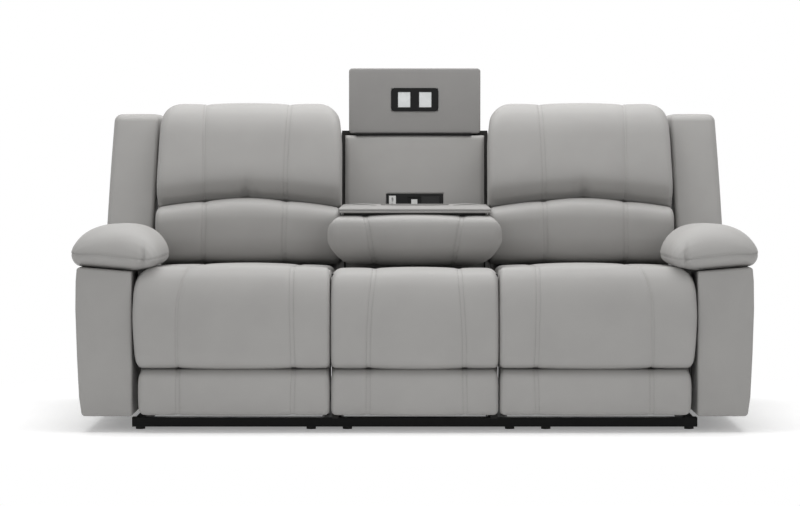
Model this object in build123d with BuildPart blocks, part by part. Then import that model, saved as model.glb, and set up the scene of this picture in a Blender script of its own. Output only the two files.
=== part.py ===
from build123d import *
import os
from math import atan2, cos, degrees, hypot, radians, sin, sqrt, tan

# Three-seat reclining sofa.  The middle back folds down as a console table, and a
# reading-light panel stands up behind it.  Units are millimetres: X runs along the
# sofa, the front faces -Y, Z is up, and the origin lies under the middle of the sofa.

os.makedirs("parts", exist_ok=True)

# ---- Plan: seats and arms across the sofa ----
middle_seat_width = 522.0
outer_seat_width = 611.0
seat_gap = 2.0              # between neighbouring seats
arm_gap = 4.0               # between a seat and its arm, bridged by bolt spacers
arm_width = 169.0
arm_foot_taper = 14.0       # the arm's outer face runs in by this much at the floor
arm_belly = 4.0
pad_over_seat = 92.0        # arm pad past the arm's inner face
pad_over_side = 22.0        # and past its outer face

# ---- Plan: front to back ----
arm_front = -470.0
arm_rear = 455.0
front_board_y = -430.0      # front face of the boards behind the front pads
front_board_thickness = 15.0
front_pad_depth = 61.0
seat_front = -411.0
seat_rear = 62.0
under_back = 80.0           # the cushions run on this far, under the backs

# ---- Heights ----
glide_height = 8.0
rail_height = 29.0
arm_bottom = 50.0
front_pad_bottom = 54.0
front_board_bottom = 70.0
tuck_height = 198.0         # line between the upper and the lower front pad
front_pad_top = 520.0
middle_front_pad_top = 508.0
front_board_drop = 16.0     # top of a front board below its pad's top
frame_rail_bottom = 340.0
frame_rail_height = 50.0
cross_board_thickness = 20.0
seat_crown = 518.0
middle_seat_crown = 506.0
arm_top_inner = 501.0       # the arm's top slopes up to its outer edge
arm_top_outer = 515.0
arm_pad_top = 650.0
wing_top = 996.0

# ---- Base ----
front_rail_y = -385.0
rear_rail_y = 400.0
rail_depth = 30.0
front_rail_half = 889.0
side_rail_x = 864.0
side_rail_width = 30.0
shared_rail_x = 262.0
shared_rail_width = 60.0
glide_radius = 15.0
glide_rows = [-864.0, -326.0, -212.0, 299.0, 413.0, 864.0]

# ---- Clearances and sheet thicknesses ----
weld_gap = 0.2              # between separate pieces of one frame
soft_clear = 0.3            # upholstery to its neighbour
pin_clear = 0.25            # radial, pivot pin in its hole
plate_thickness = 4.0       # stamped steel links and side plates
link_gap = 0.5              # between neighbouring plates
ply = 20.0                  # seat frame boards

# ---- Recliner: pivots as (y, z) ----
back_pivot = (190.0, 330.0)
link_pivot = (-230.0, 375.0)
foot_pivot_setback = 15.0   # foot pivot behind the footrest board
foot_pivot_z = 260.0
rear_link_reach = 290.0
front_link_reach = 290.0
link_width = 24.0
pin_radius = 5.0
hinge_pin_radius = 6.0
drive_tube_radius = 9.0

# ---- Outer backs, measured along and square to their lean ----
back_lean = 12.0
back_inner = 254.0
back_outer = 868.0
back_inner_top = 256.0
back_outer_top = 856.0
back_top = 700.0
back_tuck_side = 328.0      # arched tuck line, at its ends
back_tuck_middle = 361.0
back_lumbar_bottom = 155.0
back_board_front = 10.0     # in front of the pivot
back_board_thickness = 25.0
back_board_top = 640.0
back_board_bottom = -130.0
back_cover_gap = 25.0       # uprights between the board and the rear cover
back_cover_thickness = 18.0
cover_skirt = 60.0          # lower end of the rear cover's full width
cover_return = 12.0
lumbar_depth = 165.0
head_depth = 170.0

# ---- Middle back, recess and reading light ----
recess_lean = 6.0
recess_front_y = 339.0      # face of the recess panel at console height
recess_reference_z = 688.0
recess_panel_bottom = 540.0
recess_panel_top = 925.0
recess_panel_half = 244.0
recess_panel_thickness = 20.0
lining_thickness = 10.0     # lined board below the recess, behind the console's brackets
lining_bottom = 345.0
lining_top = 488.0
middle_back_half = 252.0
middle_post_width = 38.0
middle_back_rear = 440.0
middle_back_top = 941.0
rear_cover_thickness = 12.0
light_panel_half = 227.0
light_panel_height = 225.0
light_panel_thickness = 28.0
light_hinge_y = 361.0
light_hinge_radius = 3.0
lamp_bezel_width = 163.5
lamp_bezel_height = 80.7
lamp_bezel_above_panel_edge = 76.0
lamp_width = 42.0
lamp_height = 52.0
lamp_spacing = 72.8

# ---- Console ----
console_pivot = (212.0, 606.0)
console_front = -206.0
console_rear = 300.0
console_half = 251.0
console_bottom = 500.0
console_pad_top = 668.0
console_corner_radius = 100.0
table_top = 688.0
table_thickness = 12.0
table_half = 245.0
tray_half = 115.0
tray_depth = 20.0
tray_front = 110.0
tray_rear = 262.0
cup_radius = 40.0
cup_depth = 58.0
cup_wall = 2.0
cup_x = 170.0
cup_y = 20.0
console_board_thickness = 26.0
console_board_half = 228.0
console_board_front = -165.0
console_board_rear = 285.0
console_board_low = table_top - table_thickness - console_board_thickness

# ---- Power unit in the recess ----
power_width = 196.0
power_height = 64.0
power_centre_z = 691.0
power_proud = 4.0
power_depth = 45.0

# ---- Release handle in each arm ----
handle_y = -300.0
handle_z = 400.0
handle_bezel_width = 150.0
handle_bezel_height = 74.0

# ---- Derived places ----
seat_inner = middle_seat_width / 2 + seat_gap
seat_outer = seat_inner + outer_seat_width
arm_inner = seat_outer + arm_gap
arm_outer = arm_inner + arm_width
front_board_rear = front_board_y + front_board_thickness
rail_top = glide_height + rail_height
frame_rail_top = frame_rail_bottom + frame_rail_height
seat_board_top = frame_rail_top + cross_board_thickness
foot_pivot = (front_board_rear + foot_pivot_setback, foot_pivot_z)
plate_outer = seat_outer - ply - plate_thickness    # low X side of the outer side plate
plate_inner = seat_inner + ply                      # low X side of the inner side plate
layer = plate_thickness + link_gap
across = (1, 0, 0)


# ---- Shared helpers ----
def block(x, y, z, mode=Mode.ADD):
    # Cuboid between two limits on each axis.
    limits = [sorted(pair) for pair in (x, y, z)]
    with Locations(tuple((low + high) / 2 for low, high in limits)):
        Box(*[high - low for low, high in limits], mode=mode)


def side_profile(points, x, width, mode=Mode.ADD):
    # Polygon of (y, z) points made into a plate from x to x + width.
    with BuildSketch(Plane.YZ.offset(x)) as outline:
        Polygon(*points, align=None)
    extrude(outline.sketch, amount=width, mode=mode)


def rod(centre, radius, x, length, mode=Mode.ADD):
    # Round bar along X from x to x + length.
    with BuildSketch(Plane.YZ.offset(x)) as outline:
        with Locations(centre):
            Circle(radius)
    extrude(outline.sketch, amount=length, mode=mode)


def link(start, end, x, width=link_width):
    # Stadium-shaped steel link between two pivots.
    middle = ((start[0] + end[0]) / 2, (start[1] + end[1]) / 2)
    turn = degrees(atan2(end[1] - start[1], end[0] - start[0]))
    reach = hypot(end[0] - start[0], end[1] - start[1])
    with BuildSketch(Plane.YZ.offset(x)) as outline:
        with Locations(middle):
            SlotCenterToCenter(reach, width, rotation=turn)
    extrude(outline.sketch, amount=plate_thickness)


def swell(t, power=3.0):
    # 0 at both ends of a cushion, 1 over most of its length.
    return (1 - abs(2 * t - 1) ** power) ** (1 / power)


def channels(plane, edges, reach, seam_drop, side_drop):
    # Section of a channelled cushion: flat back, drawn-in sides, one arc per channel.
    depths = [reach - seam_drop] * len(edges)
    depths[0] = depths[-1] = reach - side_drop
    widest = max(b - a for a, b in zip(edges, edges[1:]))
    with BuildSketch(plane) as section:
        with BuildLine():
            Polyline(
                (edges[-1], depths[-1]), (edges[-1], 0), (edges[0], 0), (edges[0], depths[0])
            )
            for i in range(len(edges) - 1):
                bulge = seam_drop * (edges[i + 1] - edges[i]) / widest
                SagittaArc((edges[i], depths[i]), (edges[i + 1], depths[i + 1]), bulge)
        make_face()
    return section.sketch


def save(name, piece):
    piece.part.label = name
    export_step(piece.part, f"parts/{name}.step")


def save_pair(name, right):
    # The right-hand piece as modelled, and its twin mirrored to the left.
    save(f"right_{name}", right)
    with BuildPart() as left:
        add(right.part)
        mirror(about=Plane.YZ, mode=Mode.REPLACE)
    save(f"left_{name}", left)


# ---- Base rails and floor glides ----
def base():
    with BuildPart() as rails:
        for y in (front_rail_y, rear_rail_y):
            block((-front_rail_half, front_rail_half), (y, y + rail_depth), (glide_height, rail_top))
        run = (front_rail_y + rail_depth + weld_gap, rear_rail_y - weld_gap)
        for x, width in ((side_rail_x, side_rail_width), (shared_rail_x, shared_rail_width)):
            for side in (-1, 1):
                middle = side * x
                block((middle - width / 2, middle + width / 2), run, (glide_height, rail_top))
    save("base_rails", rails)

    with BuildPart() as glides:
        for x in glide_rows:
            for y in (front_rail_y, rear_rail_y):
                with Locations((x, y + rail_depth / 2, glide_height / 2)):
                    Cylinder(glide_radius, glide_height)
    save("floor_glides", glides)


# ---- Arms ----
arm_shell = 14.0
arm_frame_clear = 1.0
arm_board = 15.0
arm_slope = (arm_top_outer - arm_top_inner) / arm_width
arm_top_plane = Plane(
    origin=(arm_inner, 0, arm_top_inner), x_dir=(1, 0, arm_slope), z_dir=(-arm_slope, 0, 1)
)
handle_depth = 13.0
handle_proud = 2.0
bezel_rim = 12.0
paddle_half = 4.0           # half the paddle's thickness
handle_face = arm_outer - 6.0       # flat seat of the bezel in the arm's outer side
arm_outer_wall = 39.0


def arm_body():
    with BuildPart() as body:
        with BuildSketch(Plane.XZ.offset(-arm_rear)) as outline:
            with BuildLine():
                Polyline(
                    (arm_outer - arm_foot_taper, arm_bottom),
                    (arm_inner, arm_bottom),
                    (arm_inner, arm_top_inner),
                    (arm_outer, arm_top_outer),
                )
                SagittaArc(
                    (arm_outer, arm_top_outer), (arm_outer - arm_foot_taper, arm_bottom), -arm_belly
                )
            make_face()
        extrude(amount=arm_rear - arm_front)
        block(
            (arm_inner + arm_shell, arm_outer - arm_outer_wall),
            (arm_front + arm_shell, arm_rear - arm_shell),
            (arm_bottom, arm_top_inner - arm_shell),
            Mode.SUBTRACT,
        )
        block(
            (handle_face - handle_depth, arm_outer + arm_belly),
            (handle_y - handle_bezel_width / 2, handle_y + handle_bezel_width / 2),
            (handle_z - handle_bezel_height / 2, handle_z + handle_bezel_height / 2),
            Mode.SUBTRACT,
        )
    save_pair("arm_body", body)


def arm_frame():
    inner = arm_inner + arm_shell + arm_frame_clear
    outer = arm_outer - arm_outer_wall - arm_frame_clear
    run = (arm_front + arm_shell + arm_frame_clear, arm_rear - arm_shell - arm_frame_clear)
    low = arm_bottom + arm_frame_clear
    high = arm_top_inner - arm_shell - soft_clear
    stud = 40.0
    with BuildPart() as frame:
        for x in (inner, outer - arm_board):
            block((x, x + arm_board), run, (low, high))
        for z in (low, (low + high - stud) / 2, high - stud):
            for y in (run[0], run[1] - stud):
                block(
                    (inner + arm_board + weld_gap, outer - arm_board - weld_gap),
                    (y, y + stud),
                    (z, z + stud),
                )
    save_pair("arm_frame", frame)


def arm_pad_section(y, size):
    # Pillow section: sloping base, three arcs, drawn towards the arm's middle by size.
    centre_x = arm_inner + arm_width * pad_centre_share
    base_z = arm_top_inner + (centre_x - arm_inner) * arm_slope + soft_clear

    def place(x, z):
        return (centre_x + size * (x - centre_x), base_z + size * (z - base_z))

    inner = arm_inner - pad_over_seat
    outer = arm_outer + pad_over_side
    rise = arm_pad_top - arm_top_inner
    low_inner = place(inner + pad_low_inset, arm_top_inner + soft_clear + pad_underside_rise)
    corner = place(arm_inner, arm_top_inner + soft_clear)
    foot_x = arm_outer - pad_foot_inset
    low_outer = place(foot_x, arm_top_outer - pad_foot_inset * arm_slope + soft_clear)
    shoulder_outer = place(outer - pad_shoulder_inset, arm_top_inner + rise * 0.74)
    shoulder_inner = place(inner + pad_shoulder_inset, arm_top_inner + rise * 0.80)
    with BuildSketch(Plane.XZ.offset(-y)) as section:
        with BuildLine():
            Polyline(low_inner, corner, low_outer)
            ThreePointArc(low_outer, place(outer, arm_top_inner + rise * 0.36), shoulder_outer)
            ThreePointArc(shoulder_outer, place(arm_inner + 28, arm_pad_top), shoulder_inner)
            ThreePointArc(shoulder_inner, place(inner, arm_top_inner + rise * 0.40), low_inner)
        make_face()
    return section.sketch


pad_nose = 10.0             # arm pad in front of the arm
pad_centre_share = 0.22     # the pad shrinks towards this share of the arm's width
pad_low_inset = 22.0
pad_foot_inset = 8.0
pad_shoulder_inset = 35.0
pad_underside_rise = 34.0   # over the seat, towards the pad's inner edge
pad_run = 700.0             # full length, cut back to the wing's front
pad_rear_size = 0.85        # the pad grows slimmer towards the wing
pad_inner_end = 36.0        # the overhang over the seat stops short of the back cushion
wing_front_y = 150.0        # at wing_front_z
wing_front_z = 560.0
wing_clear = 1.0
wing_edge = 12.0            # bow of the wing's front, and its drawn-in top
wing_rear_lean = 21.0


def wing_front_plane(shift):
    # Leaning front face of the wing, shifted forwards.
    lean = radians(back_lean)
    return Plane(
        origin=(0, wing_front_y - shift, wing_front_z), x_dir=across, z_dir=(0, cos(lean), -sin(lean))
    )


def arm_pad():
    front = arm_front - pad_nose
    stations = [(0, 0.80), (4, 0.88), (12, 0.945), (26, 0.98), (50, 1.0), (pad_run, pad_rear_size)]
    with BuildPart() as pad:
        loft(sections=[arm_pad_section(front + step, size) for step, size in stations], ruled=True)
        split(bisect_by=wing_front_plane(wing_clear), keep=Keep.BOTTOM)
        block(
            (arm_inner - pad_over_seat - 10, arm_inner + soft_clear),
            (pad_inner_end, front + pad_run + 10),
            (arm_top_inner - 5, arm_pad_top + 5),
            Mode.SUBTRACT,
        )
    save_pair("arm_pad", pad)


def wing():
    # Tall side wing beside the back; it narrows and leans back towards its top.
    lean = tan(radians(back_lean))
    rear_foot, rear_head = arm_rear, arm_rear + wing_rear_lean
    stations = [
        (arm_top_inner - 20, 0.0), (wing_front_z, 0.0), (wing_top - wing_edge - 2, 0.0), (wing_top, wing_edge)
    ]
    inner_foot, inner_head = arm_inner + 7, arm_inner - 8
    outer_foot, outer_head = arm_outer - 11, arm_outer - 28

    def section(z, inset):
        share = (z - wing_front_z) / (wing_top - wing_front_z)
        inner = inner_foot + (inner_head - inner_foot) * share + inset
        outer = outer_foot + (outer_head - outer_foot) * share - inset
        front = wing_front_y + (z - wing_front_z) * lean + inset
        rear = rear_foot + (rear_head - rear_foot) * share - inset
        with BuildSketch(Plane.XY.offset(z)) as outline:
            with BuildLine():
                shoulder = front + wing_edge
                SagittaArc((outer, shoulder), (inner, shoulder), wing_edge)
                Polyline((inner, shoulder), (inner, rear), (outer, rear), (outer, shoulder))
            make_face()
        return outline.sketch

    with BuildPart() as piece:
        loft(sections=[section(z, inset) for z, inset in stations], ruled=True)
        split(bisect_by=arm_top_plane.offset(soft_clear), keep=Keep.TOP)
    save_pair("wing", piece)


def handle_bezels():
    window_width = handle_bezel_width - 2 * bezel_rim
    window_height = handle_bezel_height - 2 * bezel_rim
    back = handle_face - handle_depth
    front = handle_face + handle_proud
    with BuildPart() as bezels:
        for side in (-1, 1):
            for reach in (window_width / 2, -handle_bezel_width / 2):
                block(
                    (side * back, side * front),
                    (handle_y + reach, handle_y + reach + bezel_rim),
                    (handle_z - handle_bezel_height / 2, handle_z + handle_bezel_height / 2),
                )
            for lift in (window_height / 2, -handle_bezel_height / 2):
                block(
                    (side * back, side * front),
                    (handle_y - window_width / 2 + weld_gap, handle_y + window_width / 2 - weld_gap),
                    (handle_z + lift, handle_z + lift + bezel_rim),
                )
    save("handle_bezels", bezels)


def release_handle():
    # Flush paddle hinged along its front edge; fingers reach behind its rear edge.
    hinge_y = handle_y - handle_bezel_width / 2 + bezel_rim + 6
    grip_end = handle_y + 22
    half_height = handle_bezel_height / 2 - bezel_rim
    axis_x = handle_face - paddle_half
    with BuildPart() as handle:
        with BuildSketch(Plane.XY.offset(handle_z - half_height + 1)) as outline:
            with Locations((axis_x, hinge_y)):
                Circle(paddle_half)
            with BuildLine():
                Polyline(
                    (axis_x - paddle_half, hinge_y),
                    (axis_x + paddle_half, hinge_y),
                    (axis_x + paddle_half, grip_end),
                    (axis_x, grip_end),
                    (axis_x - paddle_half, hinge_y + 24),
                    close=True,
                )
            make_face()
        extrude(outline.sketch, amount=2 * half_height - 2)
        with Locations((axis_x, hinge_y, handle_z)):
            Cylinder(2, 2 * half_height - weld_gap)
    save_pair("release_handle", handle)
    print("handle axis", round(axis_x, 2), round(hinge_y, 2))


# ---- Seats ----
spacer = 60.0
front_spacer_y = -300.0
frame_front = seat_front + 6.0
frame_rear = seat_rear - 2.0
cross_board_width = 50.0


def seat_frame_boards(left, right):
    # Two side rails along the seat and two boards across them.
    for low, high in ((left, left + ply), (right - ply, right)):
        block((low, high), (frame_front, frame_rear), (frame_rail_bottom, frame_rail_top))
    for y in (frame_front, frame_rear - cross_board_width):
        block((left, right), (y, y + cross_board_width), (frame_rail_top + weld_gap, seat_board_top))


def outer_seat_frame():
    with BuildPart() as frame:
        seat_frame_boards(seat_inner, seat_outer)
        for y in (front_spacer_y, frame_rear - spacer):
            block(
                (seat_outer + weld_gap, arm_inner),
                (y, y + spacer),
                (frame_rail_bottom + 5, frame_rail_top - 5),
            )
    save_pair("seat_frame", frame)


def middle_seat_frame():
    half = middle_seat_width / 2 - seat_gap
    with BuildPart() as frame:
        for side in (-1, 1):
            block(
                (side * (half - ply), side * half),
                (front_board_rear + weld_gap, frame_rear),
                (rail_top, frame_rail_top),
            )
            for y in (front_spacer_y, frame_rear - spacer):
                block(
                    (side * (half + weld_gap), side * seat_inner),
                    (y, y + spacer),
                    (frame_rail_bottom + 5, frame_rail_top - 5),
                )
        for y in (frame_front, frame_rear - cross_board_width):
            block((-half, half), (y, y + cross_board_width), (frame_rail_top + weld_gap, seat_board_top))
        block(
            (-half, half),
            (front_board_y, front_board_rear),
            (front_board_bottom, middle_front_pad_top - front_board_drop),
        )
    save("middle_seat_frame", frame)


spring_wire = 3.8
spring_width = 46.0
spring_bends = 12
spring_setback = 26.0


def springs():
    # Sinuous springs lie across the front and rear boards of each seat.
    start, end = seat_front + spring_setback, seat_rear - spring_setback
    pitch = (end - start) / spring_bends
    rows = []
    for left, right, count in (
        (-seat_outer, -seat_inner, 5),
        (-middle_seat_width / 2, middle_seat_width / 2, 4),
        (seat_inner, seat_outer, 5),
    ):
        step = (right - left) / count
        rows += [left + step * (i + 0.5) for i in range(count)]
    with BuildPart() as wires:
        for x in rows:
            with BuildSketch(Plane.XY.offset(seat_board_top)) as zigzag:
                for bend in range(spring_bends + 1):
                    with Locations((x, start + bend * pitch)):
                        Rectangle(spring_width, spring_wire)
                for bend in range(spring_bends):
                    side = 1 if bend % 2 else -1
                    shift = side * (spring_width - spring_wire) / 2
                    with Locations((x + shift, start + (bend + 0.5) * pitch)):
                        Rectangle(spring_wire, pitch)
            extrude(zigzag.sketch, amount=spring_wire)
    save("seat_springs", wires)


cushion_base = seat_board_top + spring_wire + soft_clear
cushion_rear = seat_rear + under_back
outer_seam_inset = 141.0    # sewn seams of an outer seat, from its outer and inner edge
inner_seam_inset = 110.0
middle_seam_x = 149.0
seat_edges = [seat_inner, seat_inner + inner_seam_inset, seat_outer - outer_seam_inset, seat_outer]
middle_half = middle_seat_width / 2 - seat_gap / 2
middle_edges = [-middle_half, -middle_seam_x, middle_seam_x, middle_half]
cushion_steps = [step / 10 for step in range(11)]
seam_drop = 7.0             # a seam lies this far below its channel's crown
seat_fall = 6.0             # from the front of the cushion to its rear
middle_seat_fall = 30.0
seat_side_drop = 34.0       # and an outer seat's sides this far
middle_seat_side_drop = 20.0
pad_seam_drop = 5.0
pad_side_drop = 14.0
pad_swell = 2.6
pad_shoulder = 44.0         # front pads draw in towards their top corners


def seat_cushion(edges, front, rear, crown, fall, side_drop):
    # Crowned top with sewn channels, rounded at the front and rear and falling to the rear.
    thickness = crown - cushion_base
    sections = []
    for t in cushion_steps:
        y = front + (rear - front) * t
        reach = thickness * (0.72 + 0.28 * swell(t)) - fall * t
        plane = Plane(origin=(0, y, cushion_base), x_dir=across, z_dir=(0, -1, 0))
        sections.append(channels(plane, edges, reach, seam_drop, side_drop))
    loft(sections=sections)


def seat_cushions():
    with BuildPart() as outer:
        seat_cushion(seat_edges, seat_front, cushion_rear, seat_crown, seat_fall, seat_side_drop)
    save_pair("seat_cushion", outer)
    with BuildPart() as middle:
        seat_cushion(
            middle_edges, seat_front, cushion_rear, middle_seat_crown,
            middle_seat_fall, middle_seat_side_drop,
        )
    save("middle_seat_cushion", middle)


def front_pad(edges, bottom, top, crown_depth, roll, shoulder):
    # Upholstered front pad on its board: crowned, channelled, drawn in at top and bottom.
    sections = []
    for t in cushion_steps:
        reach = crown_depth * (roll + (1 - roll) * swell(t, pad_swell))
        pull = shoulder * max(0.0, 5 * t - 4) ** 2
        drawn = [edges[0] + pull] + edges[1:-1] + [edges[-1] - pull]
        plane = Plane(
            origin=(0, front_board_y, bottom + (top - bottom) * t), x_dir=across, z_dir=(0, 0, -1)
        )
        sections.append(channels(plane, drawn, reach, pad_seam_drop, pad_side_drop))
    loft(sections=sections)


lower_pad_depth = front_pad_depth - 4
lower_pad_inset = 17.0      # the lower pad is narrower at its outer side
upper_roll = 0.45
lower_roll = 0.55


def middle_front_pads():
    with BuildPart() as upper:
        front_pad(
            middle_edges, tuck_height + soft_clear, middle_front_pad_top, front_pad_depth, upper_roll, 0.0
        )
    save("middle_upper_front_pad", upper)
    with BuildPart() as lower:
        front_pad(middle_edges, front_pad_bottom, tuck_height, lower_pad_depth, lower_roll, 0.0)
    save("middle_lower_front_pad", lower)


# ---- Recliner mechanism ----
def elbow(start, end, start_reach, end_reach):
    # Joint of two links between the given pivots, on the low side.
    span = hypot(end[0] - start[0], end[1] - start[1])
    along = (start_reach**2 - end_reach**2 + span**2) / (2 * span)
    aside = sqrt(start_reach**2 - along**2)
    dy, dz = (end[0] - start[0]) / span, (end[1] - start[1]) / span
    return (start[0] + along * dy - aside * dz, start[1] + along * dz + aside * dy)


link_elbow = elbow(link_pivot, foot_pivot, rear_link_reach, front_link_reach)


def mechanism_plates():
    # Side plates stand on the base rails and carry the link pivot and the back pivot.
    outline = [
        (link_pivot[0] - 60, rail_top),
        (back_pivot[0], rail_top),
        (back_pivot[0] + 14, back_pivot[1] - 14),
        (back_pivot[0] + 14, back_pivot[1] + 10),
        (back_pivot[0], back_pivot[1] + 14),
        (seat_rear, frame_rail_top),
        (link_pivot[0] - 20, frame_rail_top),
        (link_pivot[0] - 60, link_pivot[1] - 40),
    ]
    with BuildPart() as plates:
        for side in (-1, 1):
            for x in (plate_outer, plate_inner):
                low = x if side > 0 else -x - plate_thickness
                side_profile(outline, low, plate_thickness)
                for pivot in (link_pivot, back_pivot):
                    rod(pivot, hinge_pin_radius + pin_clear, low, plate_thickness, Mode.SUBTRACT)
    save("mechanism_plates", plates)


def rear_links():
    # Drive tube between the side plates with one arm welded on near each end.
    outer_x, inner_x = plate_outer - layer, plate_inner + layer
    with BuildPart() as piece:
        rod(link_pivot, drive_tube_radius, inner_x, outer_x + plate_thickness - inner_x)
        for x in (outer_x, inner_x):
            link(link_pivot, link_elbow, x)
        rod(link_pivot, hinge_pin_radius, plate_inner, plate_outer + plate_thickness - plate_inner)
        rod(link_elbow, pin_radius, outer_x - layer, layer)
        rod(link_elbow, pin_radius, inner_x + plate_thickness, layer)
    save_pair("rear_links", piece)


def front_links():
    with BuildPart() as piece:
        for x in (plate_outer - 2 * layer, plate_inner + 2 * layer):
            link(link_elbow, foot_pivot, x)
            for pivot in (link_elbow, foot_pivot):
                rod(pivot, pin_radius + pin_clear, x, plate_thickness, Mode.SUBTRACT)
    save_pair("front_links", piece)


def footrest():
    outer_x, inner_x = plate_outer - 3 * layer, plate_inner + 3 * layer
    ear = link_width / 2
    bracket = [
        (front_board_rear + weld_gap, foot_pivot_z - 60),
        (foot_pivot[0] + ear * 0.5, foot_pivot_z - ear),
        (foot_pivot[0] + ear, foot_pivot_z),
        (foot_pivot[0] + ear * 0.5, foot_pivot_z + ear),
        (front_board_rear + weld_gap, foot_pivot_z + 60),
    ]
    with BuildPart() as board:
        block(
            (seat_inner + 12, seat_outer - 12),
            (front_board_y, front_board_rear),
            (front_board_bottom, front_pad_top - front_board_drop),
        )
        for x, pin_x in ((outer_x, outer_x + plate_thickness), (inner_x, inner_x - layer)):
            side_profile(bracket, x, plate_thickness)
            rod(foot_pivot, pin_radius, pin_x, layer)
    save_pair("footrest_board", board)

    with BuildPart() as upper:
        front_pad(
            seat_edges, tuck_height + soft_clear, front_pad_top, front_pad_depth, upper_roll, pad_shoulder
        )
    save_pair("footrest_upper_pad", upper)

    lower_edges = seat_edges[:3] + [seat_outer - lower_pad_inset]
    with BuildPart() as lower:
        front_pad(lower_edges, front_pad_bottom, tuck_height, lower_pad_depth, lower_roll, 0.0)
    save_pair("footrest_lower_pad", lower)


# ---- Outer backs ----
lean = radians(back_lean)
up = Vector(0, sin(lean), cos(lean))
rearward = Vector(0, cos(lean), -sin(lean))
back_origin = Vector(0, back_pivot[0], back_pivot[1])
back_face_plane = Plane(origin=back_origin, x_dir=across, z_dir=-rearward)   # local y is up
board_inner = plate_inner + plate_thickness + 1 + plate_thickness
board_outer = plate_outer - 1 - plate_thickness
cover_v = back_board_thickness - back_board_front + back_cover_gap
upright_width = 60.0
upright_count = 4
back_shelf = back_lumbar_bottom + 15.0      # the board is at its full width above this
head_inner_seam = 176.0     # sewn seams, from the back's inner and outer edge
head_outer_seam = 163.0
lumbar_inner_seam = 186.0


def back_slab(x, u, v, mode=Mode.ADD):
    # Cuboid in the leaning frame of the back: x across, u up, v rearwards.
    with BuildSketch(back_face_plane.offset(-v[1])) as outline:
        with Locations(((x[0] + x[1]) / 2, (u[0] + u[1]) / 2)):
            Rectangle(x[1] - x[0], u[1] - u[0])
    extrude(outline.sketch, amount=v[1] - v[0], mode=mode)


def back_frame():
    with BuildPart() as frame:
        board_v = (-back_board_front, back_board_thickness - back_board_front)
        back_slab((board_inner, board_outer), (back_board_bottom, back_shelf), board_v)
        back_slab((back_inner + 18, back_outer - 18), (back_shelf, back_board_top), board_v)
        step = (board_outer - board_inner - upright_width) / (upright_count - 1)
        for i in range(upright_count):
            x = board_inner + i * step
            back_slab(
                (x, x + upright_width), (back_board_bottom + 20, back_board_top - 20), (board_v[1], cover_v)
            )
        ear = [
            (back_pivot[0] - 12, back_pivot[1] - 30),
            (back_pivot[0] + 12, back_pivot[1] - 30),
            (back_pivot[0] + 16, back_pivot[1] + 60),
            (back_pivot[0] - 4, back_pivot[1] + 60),
        ]
        for x, pin_x in (
            (board_outer, board_outer + plate_thickness),
            (board_inner - plate_thickness, plate_inner),
        ):
            side_profile(ear, x, plate_thickness)
            rod(back_pivot, hinge_pin_radius, pin_x, plate_thickness + 1)
    save_pair("back_frame", frame)


def back_section(u, reach, base_v, inner_seam, seam_drop, side_drop):
    share = max(0.0, (u - back_lumbar_bottom) / (back_top - back_lumbar_bottom))
    inner = back_inner + (back_inner_top - back_inner) * share
    outer = back_outer + (back_outer_top - back_outer) * share
    edges = [inner, inner + inner_seam, outer - head_outer_seam, outer]
    plane = Plane(origin=back_origin + up * u + rearward * base_v, x_dir=across, z_dir=-up)
    return channels(plane, edges, reach + base_v, seam_drop, side_drop)


def tuck_region(shift, to_top):
    # Everything above or below the arched tuck line, as a cutting solid.
    reach = 420.0 if to_top else -420.0
    middle_x = (back_inner + back_outer) / 2
    left, right = back_inner - 30, back_outer + 30
    side_u, middle_u = back_tuck_side + shift, back_tuck_middle + shift
    with BuildSketch(back_face_plane.offset(-120)) as region:
        with BuildLine():
            ThreePointArc((left, side_u), (middle_x, middle_u), (right, side_u))
            Polyline((right, side_u), (right, side_u + reach), (left, side_u + reach), (left, side_u))
        make_face()
    return region.sketch


tuck_gap = 0.4


def lumbar_pad():
    base_v = -back_board_front - soft_clear
    top = back_tuck_middle + 6
    stations = [0.0, 0.05, 0.2, 0.5, 0.8, 0.93, 1.0]
    with BuildPart() as pad:
        sections = []
        for t in stations:
            u = back_lumbar_bottom + (top - back_lumbar_bottom) * t
            reach = lumbar_depth * (0.74 + 0.26 * swell(t, 2.4))
            sections.append(back_section(u, reach, base_v, lumbar_inner_seam, 7.0, 36.0))
        loft(sections=sections)
        extrude(tuck_region(0, True), amount=400, mode=Mode.SUBTRACT)
    save_pair("lumbar_pad", pad)


def head_pad():
    base_v = cover_v + back_cover_thickness
    bottom = back_tuck_side - 6
    stations = [0.0, 0.06, 0.16, 0.35, 0.6, 0.8, 0.92, 0.98, 1.0]
    with BuildPart() as pad:
        sections = []
        for t in stations:
            u = bottom + (back_top - bottom) * t
            full = swell(t, 3.2) if t > 0.5 else swell(t, 2.2)
            floor = 0.30 if t > 0.5 else 0.70
            reach = head_depth * (floor + (1 - floor) * full)
            sections.append(back_section(u, reach, base_v, head_inner_seam, 7.0, 34.0))
        loft(sections=sections)
        extrude(tuck_region(tuck_gap, False), amount=400, mode=Mode.SUBTRACT)
        back_slab(
            (back_inner - 40, back_outer + 40),
            (bottom - 60, back_board_top + soft_clear),
            (-back_board_front - soft_clear, base_v + 40),
            Mode.SUBTRACT,
        )
    save_pair("head_pad", pad)


def back_cover():
    # Padded rear cover with two side returns that reach down past the lumbar pad.
    inner, outer = back_inner + 1, back_outer - 6
    rear_v = cover_v + back_cover_thickness
    with BuildPart() as cover:
        back_slab((inner, outer), (cover_skirt, back_board_top), (cover_v, rear_v))
        back_slab((board_inner, board_outer), (back_board_bottom, cover_skirt), (cover_v, rear_v))
        for x in (inner, outer - cover_return):
            back_slab((x, x + cover_return), (cover_skirt, back_board_top), (-back_board_front, cover_v))
    save_pair("back_cover", cover)


# ---- Middle back ----
recess_tan = tan(radians(recess_lean))


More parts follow.
